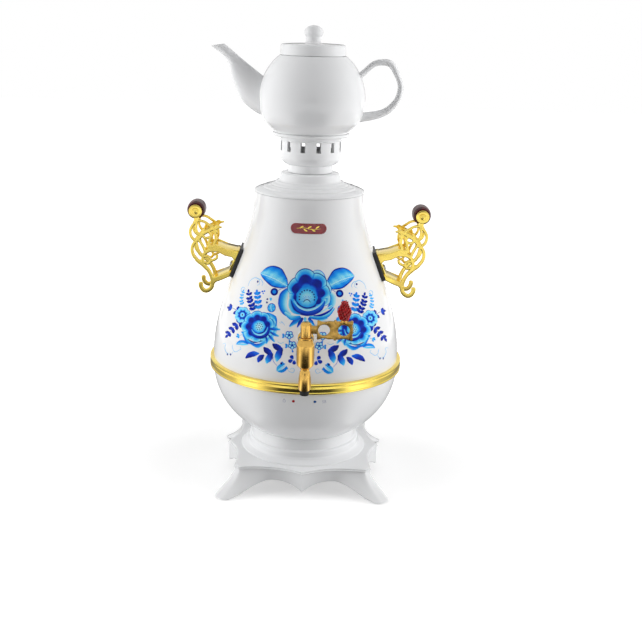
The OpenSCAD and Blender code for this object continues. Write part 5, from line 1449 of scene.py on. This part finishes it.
def paint_low():
    """Sprigs, buds, outline flowers and curls along the foot of the shell."""
    art = Painting()
    for side in (-1, 1):
        at = facing(side)
        strokes(art, side, [(path, (w * 0.2, w * 1.1, w * 1.15, w * 0.22), loads, 0, 0.1) for path, w, loads in (
            (((222, 925), (252, 898), (290, 880), (346, 874)), 46, (0.98, 0.85, 0.6)),
            (((336, 960), (346, 930), (364, 906), (390, 886)), 42, (0.75, 0.9, 0.98)),
            (((384, 812), (402, 836), (428, 858), (462, 874)), 46, (0.98, 0.95, 0.8)),
            (((410, 968), (420, 938), (438, 904), (464, 868)), 50, (0.2, 0.5, 0.85, 0.95)),
            (((458, 780), (484, 800), (516, 820), (552, 828)), 48, (0.98, 0.95, 0.85)),
            (((498, 946), (506, 906), (522, 862), (550, 826)), 52, (0.15, 0.5, 0.85, 0.95)))])
        art.line(at((470, 900), (470, 940), (505, 985)), 4, 0.75, 0)
        # Light bud
        strokes(art, side, [(path, (w * 0.3, w, w, w * 0.2), load, 1 + (w == 20), 0) for path, w, load in (
            (((575, 962), (545, 972), (515, 1000), (502, 1034)), 30, (0.5, 0.3)),
            (((586, 984), (576, 1012), (545, 1034), (508, 1036)), 28, (0.65, 0.4)),
            (((575, 976), (555, 992), (530, 1015), (506, 1034)), 20, (0.1, 0.2)),
            (((560, 960), (548, 950), (538, 948)), 14, (0.5,)),
            (((584, 990), (592, 1004), (590, 1016)), 14, (0.5,)))])
        # Curls and their dots
        for path in (((600, 1025), (640, 1045), (655, 1015), (632, 1000), (618, 1018)),
                     ((226, 268), (246, 220), (292, 196), (326, 216), (330, 254), (306, 266)),
                     ((300, 206), (340, 214), (360, 246), (352, 272)),
                     ((164, 312), (166, 284), (186, 276), (200, 290)),
                     ((514, 588), (528, 600), (530, 578), (546, 600), (548, 590), (560, 618)),
                     ((0, 796), (30, 792), (24, 840), (48, 884), (88, 890), (108, 862)),
                     ((96, 800), (104, 846), (130, 868), (160, 850), (180, 836), (168, 816)),
                     ((500, 760), (530, 776), (560, 764))):
            art.line(at(*path), 4.2, 0.32, 0)
        for x, y in ((50, 894), (82, 894), (314, 232), (540, 960)):
            art.dot(*at((x, y))[0], 1.6, 1)
    # Outline flowers and the dark drops between them
    for x, y in ((602, 700), (630, 790), (862, 790), (890, 700)):
        for k in range(5):
            a = 2 * math.pi * (k + 0.25) / 5
            art.bloom((x + 21 * math.cos(a), y + 21 * math.sin(a)), 18,
                      lambda q, b: 0.08 + 0.7 * step_up(q, 0.68, 0.12), 0.5 * k, 7, 24)
        art.bloom((x, y), 9, lambda q, b: 0.85, 4, 5, 20)
        out = -1 if x < MID_X else 1
        for dy in (-8, 8, 24):
            art.drop((x + 36 * out, y + 4 + dy / 2), (x + 60 * out, y + dy), 14, (0.3, 0.6), 0)
        art.drop((x, y + 38), (x - 8 * out, y + 66), 16, (0.4, 0.7), 0)
    for side in (-1, 1):
        for a, b, w in (((644, 916), (618, 884), 36), ((640, 922), (600, 944), 38), ((650, 926), (652, 968), 34)):
            art.drop(*facing(side)(a, b), w, (0.7, 0.95), 0)
    art.line([(660, 880), (700, 850), (745, 842), (790, 850), (830, 880)], 4, 0.7, 0)
    for k in range(7):
        art.dot(700 + 15 * k, 836 - 6 * math.sin(math.pi * k / 6), 1.2, 1)
    art.finish("painting_low")


# ---------- Cap, crown, teapot and lid ----------

CAP_STEPS = ((0, 1), (0.13, 1), (0.2, 0.95), (0.235, 0.8), (0.262, 0.62), (0.3, 0.55), (0.34, 0.54),
             (0.39, 0.46), (0.47, 0.41), (0.5, 0.36), (0.56, 0.35), (0.62, 0.3), (0.72, 0.27),
             (0.75, 0.21), (0.83, 0.19), (0.93, 0.13), (0.985, 0.08), (1, 0.02), (1, 0))
NECK_R, CROWN_R = 23.5, 31.8
SPIGOT_R = NECK_R - 3.3


def cap_shape():
    rim, h = high("cap").x, CAP_TOP - CAP_Z0
    collar = rim - 10.2
    outer = [(NECK_R + (rim - NECK_R) * r, CAP_Z0 + h * z) for r, z in CAP_STEPS]
    outline = about(SPIGOT_R, CAP_TOP, (-2.5, 7), (0, 7), (0, 0)) + outer + about(
        collar, CAP_Z0, (0, 0), (0, -9), (-3, -9), (-3, 1.5)) + about(SPIGOT_R, CAP_TOP, (6, -4), (-2.5, -3))
    return turned(soften(outline, 0.55, 3), 192)


def crown_object():
    z, h, lip, seat_t = CROWN_Z0, CROWN_TOP - CROWN_Z0, 33.6, 3.4
    shoulder, seat = h * 0.42, CROWN_TOP - seat_t
    turns = [math.pi / 2 * k / 20 for k in range(21)]
    arc = [(NECK_R + (CROWN_R - NECK_R) * math.sin(a), z + shoulder - (shoulder - 8) * math.cos(a)) for a in turns]
    outline = [(NECK_R - 3, z), (NECK_R, z)] + arc
    outline += about(CROWN_R, seat, (0, -5.2), (0.5, -4.7), (0.5, -3.9), (0, -3.4), (0, -1), (2, 0))
    outline += about(SEAT_R, seat, (-0.8, 0), (0, 0.8)) + about(SEAT_R, CROWN_TOP, (0, -0.6), (-0.6, 0))
    outline += about(lip, CROWN_TOP, (0, 0), (0, 2.2), (-2, 2.2)) + about(CROWN_R, seat, (-4, 0), (-3, -2))
    outline += [(CROWN_R - 3, z + shoulder), (NECK_R + 1, z + 9.5), (NECK_R - 3, z + 8)]
    start = mesh_of("crown", turned(soften(outline, 0.4, 3), 168))
    return grown("crown_pierced", slots_tree("glazed_porcelain"), start,
                 Count=bpy.context.scene.pot_look.slots, Width=0.0048, Height=0.0105,
                 Middle=(z + h - seat_t - 4.6 - 5.25) * MM, Reach=(CROWN_R - 1) * MM, Depth=0.011)


POT_R, POT_FOOT, LID_R = 55.1, 39.2, 33.4
MOUTH_Z = POT_MID + math.sqrt(POT_R ** 2 - (LID_R + 1) ** 2)
# Sections of the spout: lower point, upper point and half width
SPOUT = ((-37.1, -18, -37.1, 20, 13.5), (-49.6, -19.5, -50.1, 21, 14), (-70.1, -6.5, -48.6, 19.8, 11.5),
         (-81.8, 15.7, -67.3, 33.8, 7.8), (-88.7, 37, -81.9, 45.4, 5.4), (-104.7, 50.4, -90.8, 52.6, 5.6))
# Handle: place, half thickness and half width
POT_HANDLE = ((45.1, 20.5, 3.4, 6), (53.8, 28.3, 3, 5.6), (62.2, 35.8, 3, 5.4), (70.5, 38, 3.2, 5.4),
              (80.3, 36.2, 3.5, 5.2), (87.9, 23.6, 3, 5), (91.1, 13.6, 3, 4.9), (89, 2, 3.2, 4.9),
              (81.1, -8.4, 3.6, 5), (71.3, -14, 4, 5.4), (60.1, -16.6, 4.6, 5.8), (48.1, -18.6, 5, 6.2))


def pot_arc(r, z0, z1, count=64):
    """The pot's ball between two heights."""
    a0, a1 = math.asin((z0 - POT_MID) / r), math.asin((z1 - POT_MID) / r)
    turns = [a0 + (a1 - a0) * k / count for k in range(count + 1)]
    return [(r * math.cos(a), POT_MID + r * math.sin(a)) for a in turns]


def spout_shape(cut, sides=48, steps=10):
    """The spout, or with a cut above 0 the channel in it, which runs on past its end."""
    line = curve(SPOUT, steps)
    a = 2 * math.pi * np.arange(sides) / sides
    rings = []
    for i, (x0, z0, x1, z1, half) in enumerate(line):
        arm = np.array([(x1 - x0) / 2, (z1 - z0) / 2])
        k = 1 - cut / np.linalg.norm(arm)
        extra = 1.5 if cut > 0 and i == len(line) - 1 else 0
        rings.append(np.column_stack([(x0 + x1) / 2 + arm[0] * k * np.cos(a), (half - cut) * np.sin(a),
                                      POT_MID + (z0 + z1) / 2 + arm[1] * k * np.cos(a) + extra]))
    return loft(rings)


def pot_handle_shape(sides=40, steps=9):
    line = curve(POT_HANDLE, steps)
    t = tangents(line[:, :2])
    a = 2 * math.pi * np.arange(sides) / sides
    c, s = np.cos(a), np.sin(a)
    return loft([np.column_stack([q[0] - t[i][1] * q[2] * c, q[3] * s, POT_MID + q[1] + t[i][0] * q[2] * c])
                 for i, q in enumerate(line)])


def teapot_object():
    wall = bpy.context.scene.pot_look.wall / MM
    foot_top = POT_MID - math.sqrt(POT_R ** 2 - (POT_FOOT + 10.5) ** 2)
    foot = about(POT_FOOT, POT_Z0, (-5, 2.2), (-5, 0.5), (-4.5, 0), (-0.5, 0), (0, 0.5), (0.3, 1.4), (1.2, 2.2),
                 (4.2, 4.6), (7.6, 7.9))
    body = [(0, POT_Z0 + 2.2)] + foot + pot_arc(POT_R, foot_top, MOUTH_Z - 0.5) + [
        (LID_R + 0.9, MOUTH_Z), (0, MOUTH_Z)]
    made = thing("pot", turned(body, 144))
    joined(made, "UNION", thing("spout", spout_shape(0)), thing("strap", pot_handle_shape()))
    mouth = LID_R - 3.4
    hollow = [(0, POT_Z0 + 2.2 + wall), (POT_FOOT - wall - 1, POT_Z0 + 2.2 + wall)] + pot_arc(
        POT_R - wall, foot_top + 2, MOUTH_Z - wall - 1, 40) + [
        (mouth, MOUTH_Z - wall), (mouth, MOUTH_Z + 1), (0, MOUTH_Z + 1)]
    return joined(made, "DIFFERENCE", thing("hollow", turned(hollow, 96)), thing("channel", spout_shape(2.1)))


def lid_object():
    z0, top = MOUTH_Z + 0.3, LID_TOP_KNOB - 18.7
    mouth, knob, h = LID_R - 3.4, 9.8, 18.7
    rim = about(LID_R, z0, (-0.3, 0), (0, 0.3)) + about(
        LID_R, top, (0, -1.8), (-0.2, -1.1), (-0.7, -0.5), (-1.4, -0.15), (-2.3, 0))
    disc = [(LID_R - 2.3 - (LID_R - 12.3) * k / 8, top + 0.9 * math.sin(math.pi / 2 * k / 8)) for k in range(1, 9)]
    neck = about(0, top, (9, 1.1), (8.1, 1.9), (7.75, 3), (7.75, 4.1))
    ball = [(max(0, knob * math.cos(a)), top + h * 0.62 + h * 0.38 * math.sin(a))
            for a in np.radians(np.linspace(-36, 90, 26))]
    inside = [(0, top - 3), (mouth - 2.7, top - 3)] + about(
        mouth, z0, (-2.7, -5.7), (-2.4, -6), (-0.6, -6), (-0.3, -5.7), (-0.3, 0))
    made = thing("lid", turned(rim + disc + neck + ball + inside, 144))
    vent = moved(turned(about(0, top, (0, -4), (1.2, -4), (1.2, 3), (0, 3)), 24),
                 Matrix.Translation((0, LID_R - 14, 0)))
    return joined(made, "DIFFERENCE", thing("vent", vent))


# ---------- Operators ----------


class SAMOVAR_OT_base(bpy.types.Operator):
    """Build the footed base and the column under the bowl"""

    bl_idname = "samovar.base"
    bl_label = "Base"

    def execute(self, context):
        finished(thing("footed_base", pedestal_shape()), "moulded_abs_white", "base_pedestal")
        finished(thing("round_column", column_shape()), "moulded_abs_white", "column")
        node_finish("nitrile_rubber", "rubber_pads")
        node_finish("moulded_nylon_black", "bottom_cover")
        node_finish("zinc_plated_steel", "cover_screws")
        return {"FINISHED"}


class SAMOVAR_OT_bowl(bpy.types.Operator):
    """Build the bowl with its rear panel, the belt and the lamps with their marks"""

    bl_idname = "samovar.bowl"
    bl_label = "Bowl and belt"

    def execute(self, context):
        finished(bowl_object(), "moulded_abs_white", "bowl_shell", name="lower_bowl")
        finished(thing("gold_belt", belt_shape()), "gold_plating", "belt")
        node_finish("lamp_window_red", "red_lamp")
        node_finish("lamp_window_blue", "blue_lamp")
        finished(thing("lamp_marks", marks_shape()), "grey_ink")
        return {"FINISHED"}


class SAMOVAR_OT_shell(bpy.types.Operator):
    """Build the upper shell and the plaque on its front"""

    bl_idname = "samovar.shell"
    bl_label = "Upper shell"

    def execute(self, context):
        finished(shell_object(), "glazed_porcelain", "body_shell", name="upper_shell")
        finished(plaque_object(), "red_enamel", "plaque", name="plaque_plate")
        finished(thing("plaque_sprig", sprig_shapes()), "gold_plating")
        return {"FINISHED"}


class SAMOVAR_OT_painting(bpy.types.Operator):
    """Paint the blue roses, leaves and sprigs on the upper shell"""

    bl_idname = "samovar.painting"
    bl_label = "Blue painting"

    def execute(self, context):
        paint_centre()
        for paint in (paint_leaves, paint_side):
            for side in WORDS:
                paint(side)
        paint_low()
        return {"FINISHED"}


class SAMOVAR_OT_tap(bpy.types.Operator):
    """Build the tap, its key and the bead on the key"""

    bl_idname = "samovar.tap"
    bl_label = "Tap"

    def execute(self, context):
        finished(tap_object(), "polished_brass", "tap_body", name="tap_barrel")
        finished(thing("tap_plug", key_shape()), "polished_brass", "tap_key", body="tap_key")
        eased_node("key_leaf", "key_plate", 0.45, 3, "cast_brass", "tap_key")
        body, scales = bead_objects()
        finished(body, "red_acrylic", "key_bead", body="tap_key", name="bead_core")
        finished(scales, "red_acrylic", body="tap_key", name="bead_scales")
        end = low("nozzle_tip").z
        tip = soften([(2.4, end), (4.5, end), (4.5, NOZZLE_END), (2.4, NOZZLE_END)], 0.5, 3)
        finished(thing("spout_tip", moved(turned(tip, 48), AT_TAP)), "nitrile_rubber", "nozzle_tip")
        eased_node("tap_collar", "tap_gland", 0.25, 2, "polished_brass")
        node_finish("polished_brass", "tap_nut")
        node_finish("silicone_pale", "tap_seals")
        node_finish("nitrile_rubber", "plug_seals")
        return {"FINISHED"}


class SAMOVAR_OT_handles(bpy.types.Operator):
    """Build the two scroll handles with their brackets, grips and pads"""

    bl_idname = "samovar.handles"
    bl_label = "Side handles"

    def execute(self, context):
        scroll = scroll_mesh()
        waist = context.scene.grip_look.waist / MM
        for side, word in WORDS.items():
            for way, place in ((-1, "front"), (1, "rear")):
                piece = sided(scroll, f"{word}_{place}_casting", side, way * (HANDLE_GAP + SCROLL_T) / 2)
                finished(piece, "gold_plating", f"{word}_{place}_scroll", sharp=60)
            grip = thing(word + "_turned_grip", moved(turned(grip_shape(waist), 72), handle_place(side)))
            finished(grip, "lacquered_beech", word + "_grip")
            finished(thing(word + "_bolt", bolt_shapes(side)), "gold_plating", word + "_grip_bolt")
            finished(thing(word + "_rings", washer_shapes(side)), "gold_plating", word + "_washers")
            eased_node(word + "_arm_casting", word + "_bracket", 0.35, 3, "gold_plating")
            eased_node(word + "_seat_pad", word + "_pad", 0.3, 2, "moulded_nylon_black")
            node_finish("zinc_plated_steel", word + "_screws")
        bpy.data.meshes.remove(scroll)
        return {"FINISHED"}


class SAMOVAR_OT_crown(bpy.types.Operator):
    """Build the stepped cap and the slotted crown"""

    bl_idname = "samovar.crown"
    bl_label = "Cap and crown"

    def execute(self, context):
        finished(thing("stepped_cap", cap_shape()), "glazed_porcelain", "cap", body="cap")
        finished(crown_object(), "glazed_porcelain", "crown", body="crown", name="slotted_crown")
        node_finish("silicone_pale", "cap_seal")
        return {"FINISHED"}


class SAMOVAR_OT_teapot(bpy.types.Operator):
    """Build the white teapot and its lid"""

    bl_idname = "samovar.teapot"
    bl_label = "Teapot"

    def execute(self, context):
        finished(teapot_object(), "glazed_porcelain", "teapot", body="teapot", name="white_teapot")
        finished(lid_object(), "glazed_porcelain", "teapot_lid", body="teapot_lid", name="white_lid")
        return {"FINISHED"}


class SAMOVAR_OT_rear(bpy.types.Operator):
    """Finish the inlet and the switch on the rear panel"""

    bl_idname = "samovar.rear"
    bl_label = "Inlet and switch"

    def execute(self, context):
        for name, node_name, material, body in (
                ("cord_inlet", "power_inlet", "moulded_nylon_black", "vessel"),
                ("switch_frame", "switch_housing", "moulded_nylon_black", "vessel"),
                ("switch_key", "switch_rocker", "red_acrylic", "rocker")):
            eased_node(name, node_name, 0.3, 2, material, body)
        node_finish("zinc_plated_steel", "inlet_pins")
        return {"FINISHED"}


class SAMOVAR_OT_inside(bpy.types.Operator):
    """Give the tank, the heater and the wiring their materials"""

    bl_idname = "samovar.inside"
    bl_label = "Tank and heater"

    def execute(self, context):
        for material, *names in (
                ("spun_stainless", "water_tank"), ("cast_aluminium", "heater"), ("wire_cover", "wiring"),
                ("moulded_nylon_black", "thermostat"), ("green_solder_mask", "lamp_board"),
                ("zinc_plated_steel", "thermal_fuse", "tie_rods", "tie_nuts")):
            node_finish(material, *names)
        return {"FINISHED"}


def marks_shape():
    """Printed marks beside the lamps: a drop on one side and three rising waves on the other."""
    drop = [(0, 2.1), (-0.9, 0.5), (-1.2, -0.6), (-0.7, -1.6), (0, -1.9), (0.7, -1.6), (1.2, -0.6), (0.9, 0.5),
            (0, 2.1)]
    waves = [[(x, -1.8), (x + 0.5, -0.6), (x - 0.2, 0.6), (x + 0.3, 1.8)] for x in (-1.4, 0, 1.4)]
    middle = centre("red_lamp")[2]
    made = []
    for x0, lines in ((-20.5, [drop]), (20.5, waves)):
        for path in lines:
            line = curve(path, 4)
            points, faces = swept(line, [0.42] * len(line), [0.1] * len(line), 6)
            points[:, 0] += x0
            points[:, 2] += middle
            r = np.array([bowl_radius(z) for z in points[:, 2]])
            points[:, 1] -= np.sqrt(r * r - points[:, 0] ** 2)
            made.append((points, faces))
    return both(*made)


def greys(tree, value, *stops):
    """A ramp of plain greys."""
    return ramp(tree, value, [(at, (level, level, level, 1)) for at, level in stops])


def mixed(tree, share, first, second):
    return node(tree, "ShaderNodeMixShader", {0: share, 1: first, 2: second})


def floor_material():
    """Pale matt paint that shows the object's shadow and otherwise reads as the backdrop."""
    made = bpy.data.materials.new("matt_floor")
    tree = emptied(made)
    multiply = partial(math_node, tree, "MULTIPLY")
    matt = node(tree, "ShaderNodeBsdfDiffuse", {"Color": two_tone(tree, grain(tree, 1.5), "#d9d9d9", "#dcdcdc")})
    x, y, _ = parts_of(tree, object_place(tree))
    reach = math_node(tree, "SQRT", math_node(tree, "ADD", multiply(x, x), multiply(y, y)))
    # Seen directly it fades into the backdrop away from the object
    fade = map_range(tree, reach, 0.15, 0.6, 0.5)
    glow = node(tree, "ShaderNodeEmission", {"Color": linear("#ffffff"), "Strength": fade})
    # In reflections it goes on with the studio's gradient, dark in front and light at the sides
    turn = map_range(tree, math_node(tree, "DIVIDE", y, reach), -1.0, 1.0)
    near = greys(tree, turn, (0, 0.02), (0.05, 0.05), (0.1, 0.3), (0.2, 0.95), (0.3, 1), (0.42, 0.5), (0.6, 0.33),
                 (0.85, 0.2), (1, 0.06))
    patches = node(tree, "ShaderNodeTexNoise", {"Scale": 2.2, "Detail": 0.0, "Vector": object_place(tree)})
    far = greys(tree, patches, (0, 0.36), (0.38, 0.42), (0.47, 0.72), (0.58, 0.88), (1, 0.92))
    tone = node(tree, "ShaderNodeMixRGB", {"Fac": map_range(tree, reach, 0.8, 0.9), "Color1": near, "Color2": far})
    mirror = node(tree, "ShaderNodeEmission", {"Color": tone, "Strength": 1.6})
    none = node(tree, "ShaderNodeEmission", {"Strength": 0.0})
    seen = node(tree, "ShaderNodeLightPath").outputs
    whole = node(tree, "ShaderNodeAddShader", {0: matt, 1: mixed(tree, seen["Is Camera Ray"], none, glow)})
    node(tree, "ShaderNodeOutputMaterial", {"Surface": mixed(tree, seen["Is Glossy Ray"], whole, mirror)})
    return made


def studio_world(strength):
    """White to the camera, a soft studio gradient in reflections, dimmer as fill light."""
    world = bpy.data.worlds.new("studio")
    tree = emptied(world)
    seen = node(tree, "ShaderNodeLightPath").outputs
    x, _, z = parts_of(tree, node(tree, "ShaderNodeNewGeometry").outputs["Incoming"])
    # Light at the sides and overhead, dark in front and behind
    above = math_node(tree, "MULTIPLY", math_node(tree, "ABSOLUTE", z), 2.2)
    side = math_node(tree, "MAXIMUM", math_node(tree, "ABSOLUTE", x), above)
    wall = greys(tree, side, (0, 0.05), (0.12, 0.1), (0.25, 0.7), (0.4, 1), (0.8, 0.8), (1, 0.9))
    mirror, fill, white = (
        node(tree, "ShaderNodeBackground", {"Color": colour, "Strength": power})
        for colour, power in ((wall, 1.0), (linear("#fbfcff"), strength), (linear("#ffffff"), 1.0)))
    clear = math_node(tree, "MAXIMUM", seen["Is Camera Ray"], seen["Is Transmission Ray"])
    final = mixed(tree, clear, mixed(tree, seen["Is Glossy Ray"], fill, mirror), white)
    node(tree, "ShaderNodeOutputWorld", {"Surface": final})
    return world


def area_light(name, power, size, place, aim):
    """A square light, aimed at a point. Gloss doesn't see it: the studio's gradient is mirrored instead."""
    data = bpy.data.lights.new(name, "AREA")
    data.energy, data.size, data.shape = power, size, "SQUARE"
    light = placed_object(name, data)
    light.location, light.visible_glossy = place, False
    light.rotation_euler = (Vector(aim) - Vector(place)).to_track_quat("-Z", "Y").to_euler()
    return light


CAMERA_PLACE = (0, -1.109, 0.4964)


def front_camera(look):
    lens = bpy.data.cameras.new("camera")
    lens.lens, lens.sensor_width, lens.shift_x = look.lens, 36.0, look.shift
    lens.clip_start, lens.clip_end = 0.01, 50.0
    camera = placed_object("camera", lens)
    tilted = Matrix.Rotation(math.pi / 2 - look.tilt, 4, "X")
    camera.matrix_world = Matrix.Translation(CAMERA_PLACE) @ tilted @ Matrix.Rotation(look.roll, 4, "Z")
    return camera


class SAMOVAR_OT_stage(bpy.types.Operator):
    """Set up the floor, the light and the camera"""

    bl_idname = "samovar.stage"
    bl_label = "Stage"

    def execute(self, context):
        scene, look = context.scene, context.scene.stage_look
        floor = thing("floor", ([(-4000, -4000, 0), (4000, -4000, 0), (4000, 5000, 0), (-4000, 5000, 0)],
                                [(0, 1, 2, 3)]))
        floor.data.materials.append(floor_material())
        scene.world = studio_world(look.fill)
        lights = [area_light(*light) for light in (
            ("left_box", look.key, 1.2, (-1.38, -0.16, 0.62), (0, 0, 0.24)),
            ("right_box", look.key, 1.2, (1.38, -0.16, 0.62), (0, 0, 0.24)),
            ("top_box", look.key * 0.18, 1.4, (0, -0.2, 1.7), (0, 0, 0.2)))]
        scene.camera = camera = front_camera(look)
        scene.view_settings.view_transform = "Standard"
        return {"FINISHED"}


# ---------- Panel and registration ----------

LOOKS = (("shell_look", ShellLook), ("paint_look", PaintLook), ("metal_look", MetalLook),
         ("grip_look", GripLook), ("pot_look", PotLook), ("stage_look", StageLook))
STEPS = (SAMOVAR_OT_base, SAMOVAR_OT_bowl, SAMOVAR_OT_shell, SAMOVAR_OT_painting, SAMOVAR_OT_tap,
         SAMOVAR_OT_handles, SAMOVAR_OT_crown, SAMOVAR_OT_teapot, SAMOVAR_OT_rear, SAMOVAR_OT_inside,
         SAMOVAR_OT_stage)


class SAMOVAR_PT_build(bpy.types.Panel):
    """Sizes, colours and build steps"""

    bl_idname = "SAMOVAR_PT_build"
    bl_label = "Samovar"
    bl_space_type = "VIEW_3D"
    bl_region_type = "UI"
    bl_category = "Samovar"

    def draw(self, context):
        for name, group in LOOKS:
            box = self.layout.box()
            box.label(text=group.__doc__)
            look = getattr(context.scene, name)
            for key in group.__annotations__:
                box.prop(look, key)
        for step in STEPS:
            self.layout.operator(step.bl_idname)


CLASSES = tuple(group for _, group in LOOKS) + STEPS + (SAMOVAR_PT_build,)


def register():
    for cls in CLASSES:
        bpy.utils.register_class(cls)
    for name, group in LOOKS:
        setattr(bpy.types.Scene, name, bpy.props.PointerProperty(type=group))


def unregister():
    for name, _ in LOOKS:
        delattr(bpy.types.Scene, name)
    for cls in reversed(CLASSES):
        bpy.utils.unregister_class(cls)


def main():
    register()
    make_materials()
    for step in STEPS:
        group, name = step.bl_idname.split(".")
        if getattr(getattr(bpy.ops, group), name)() != {"FINISHED"}:
            raise RuntimeError(step.bl_label + " was not finished")


if __name__ == "__main__":
    main()
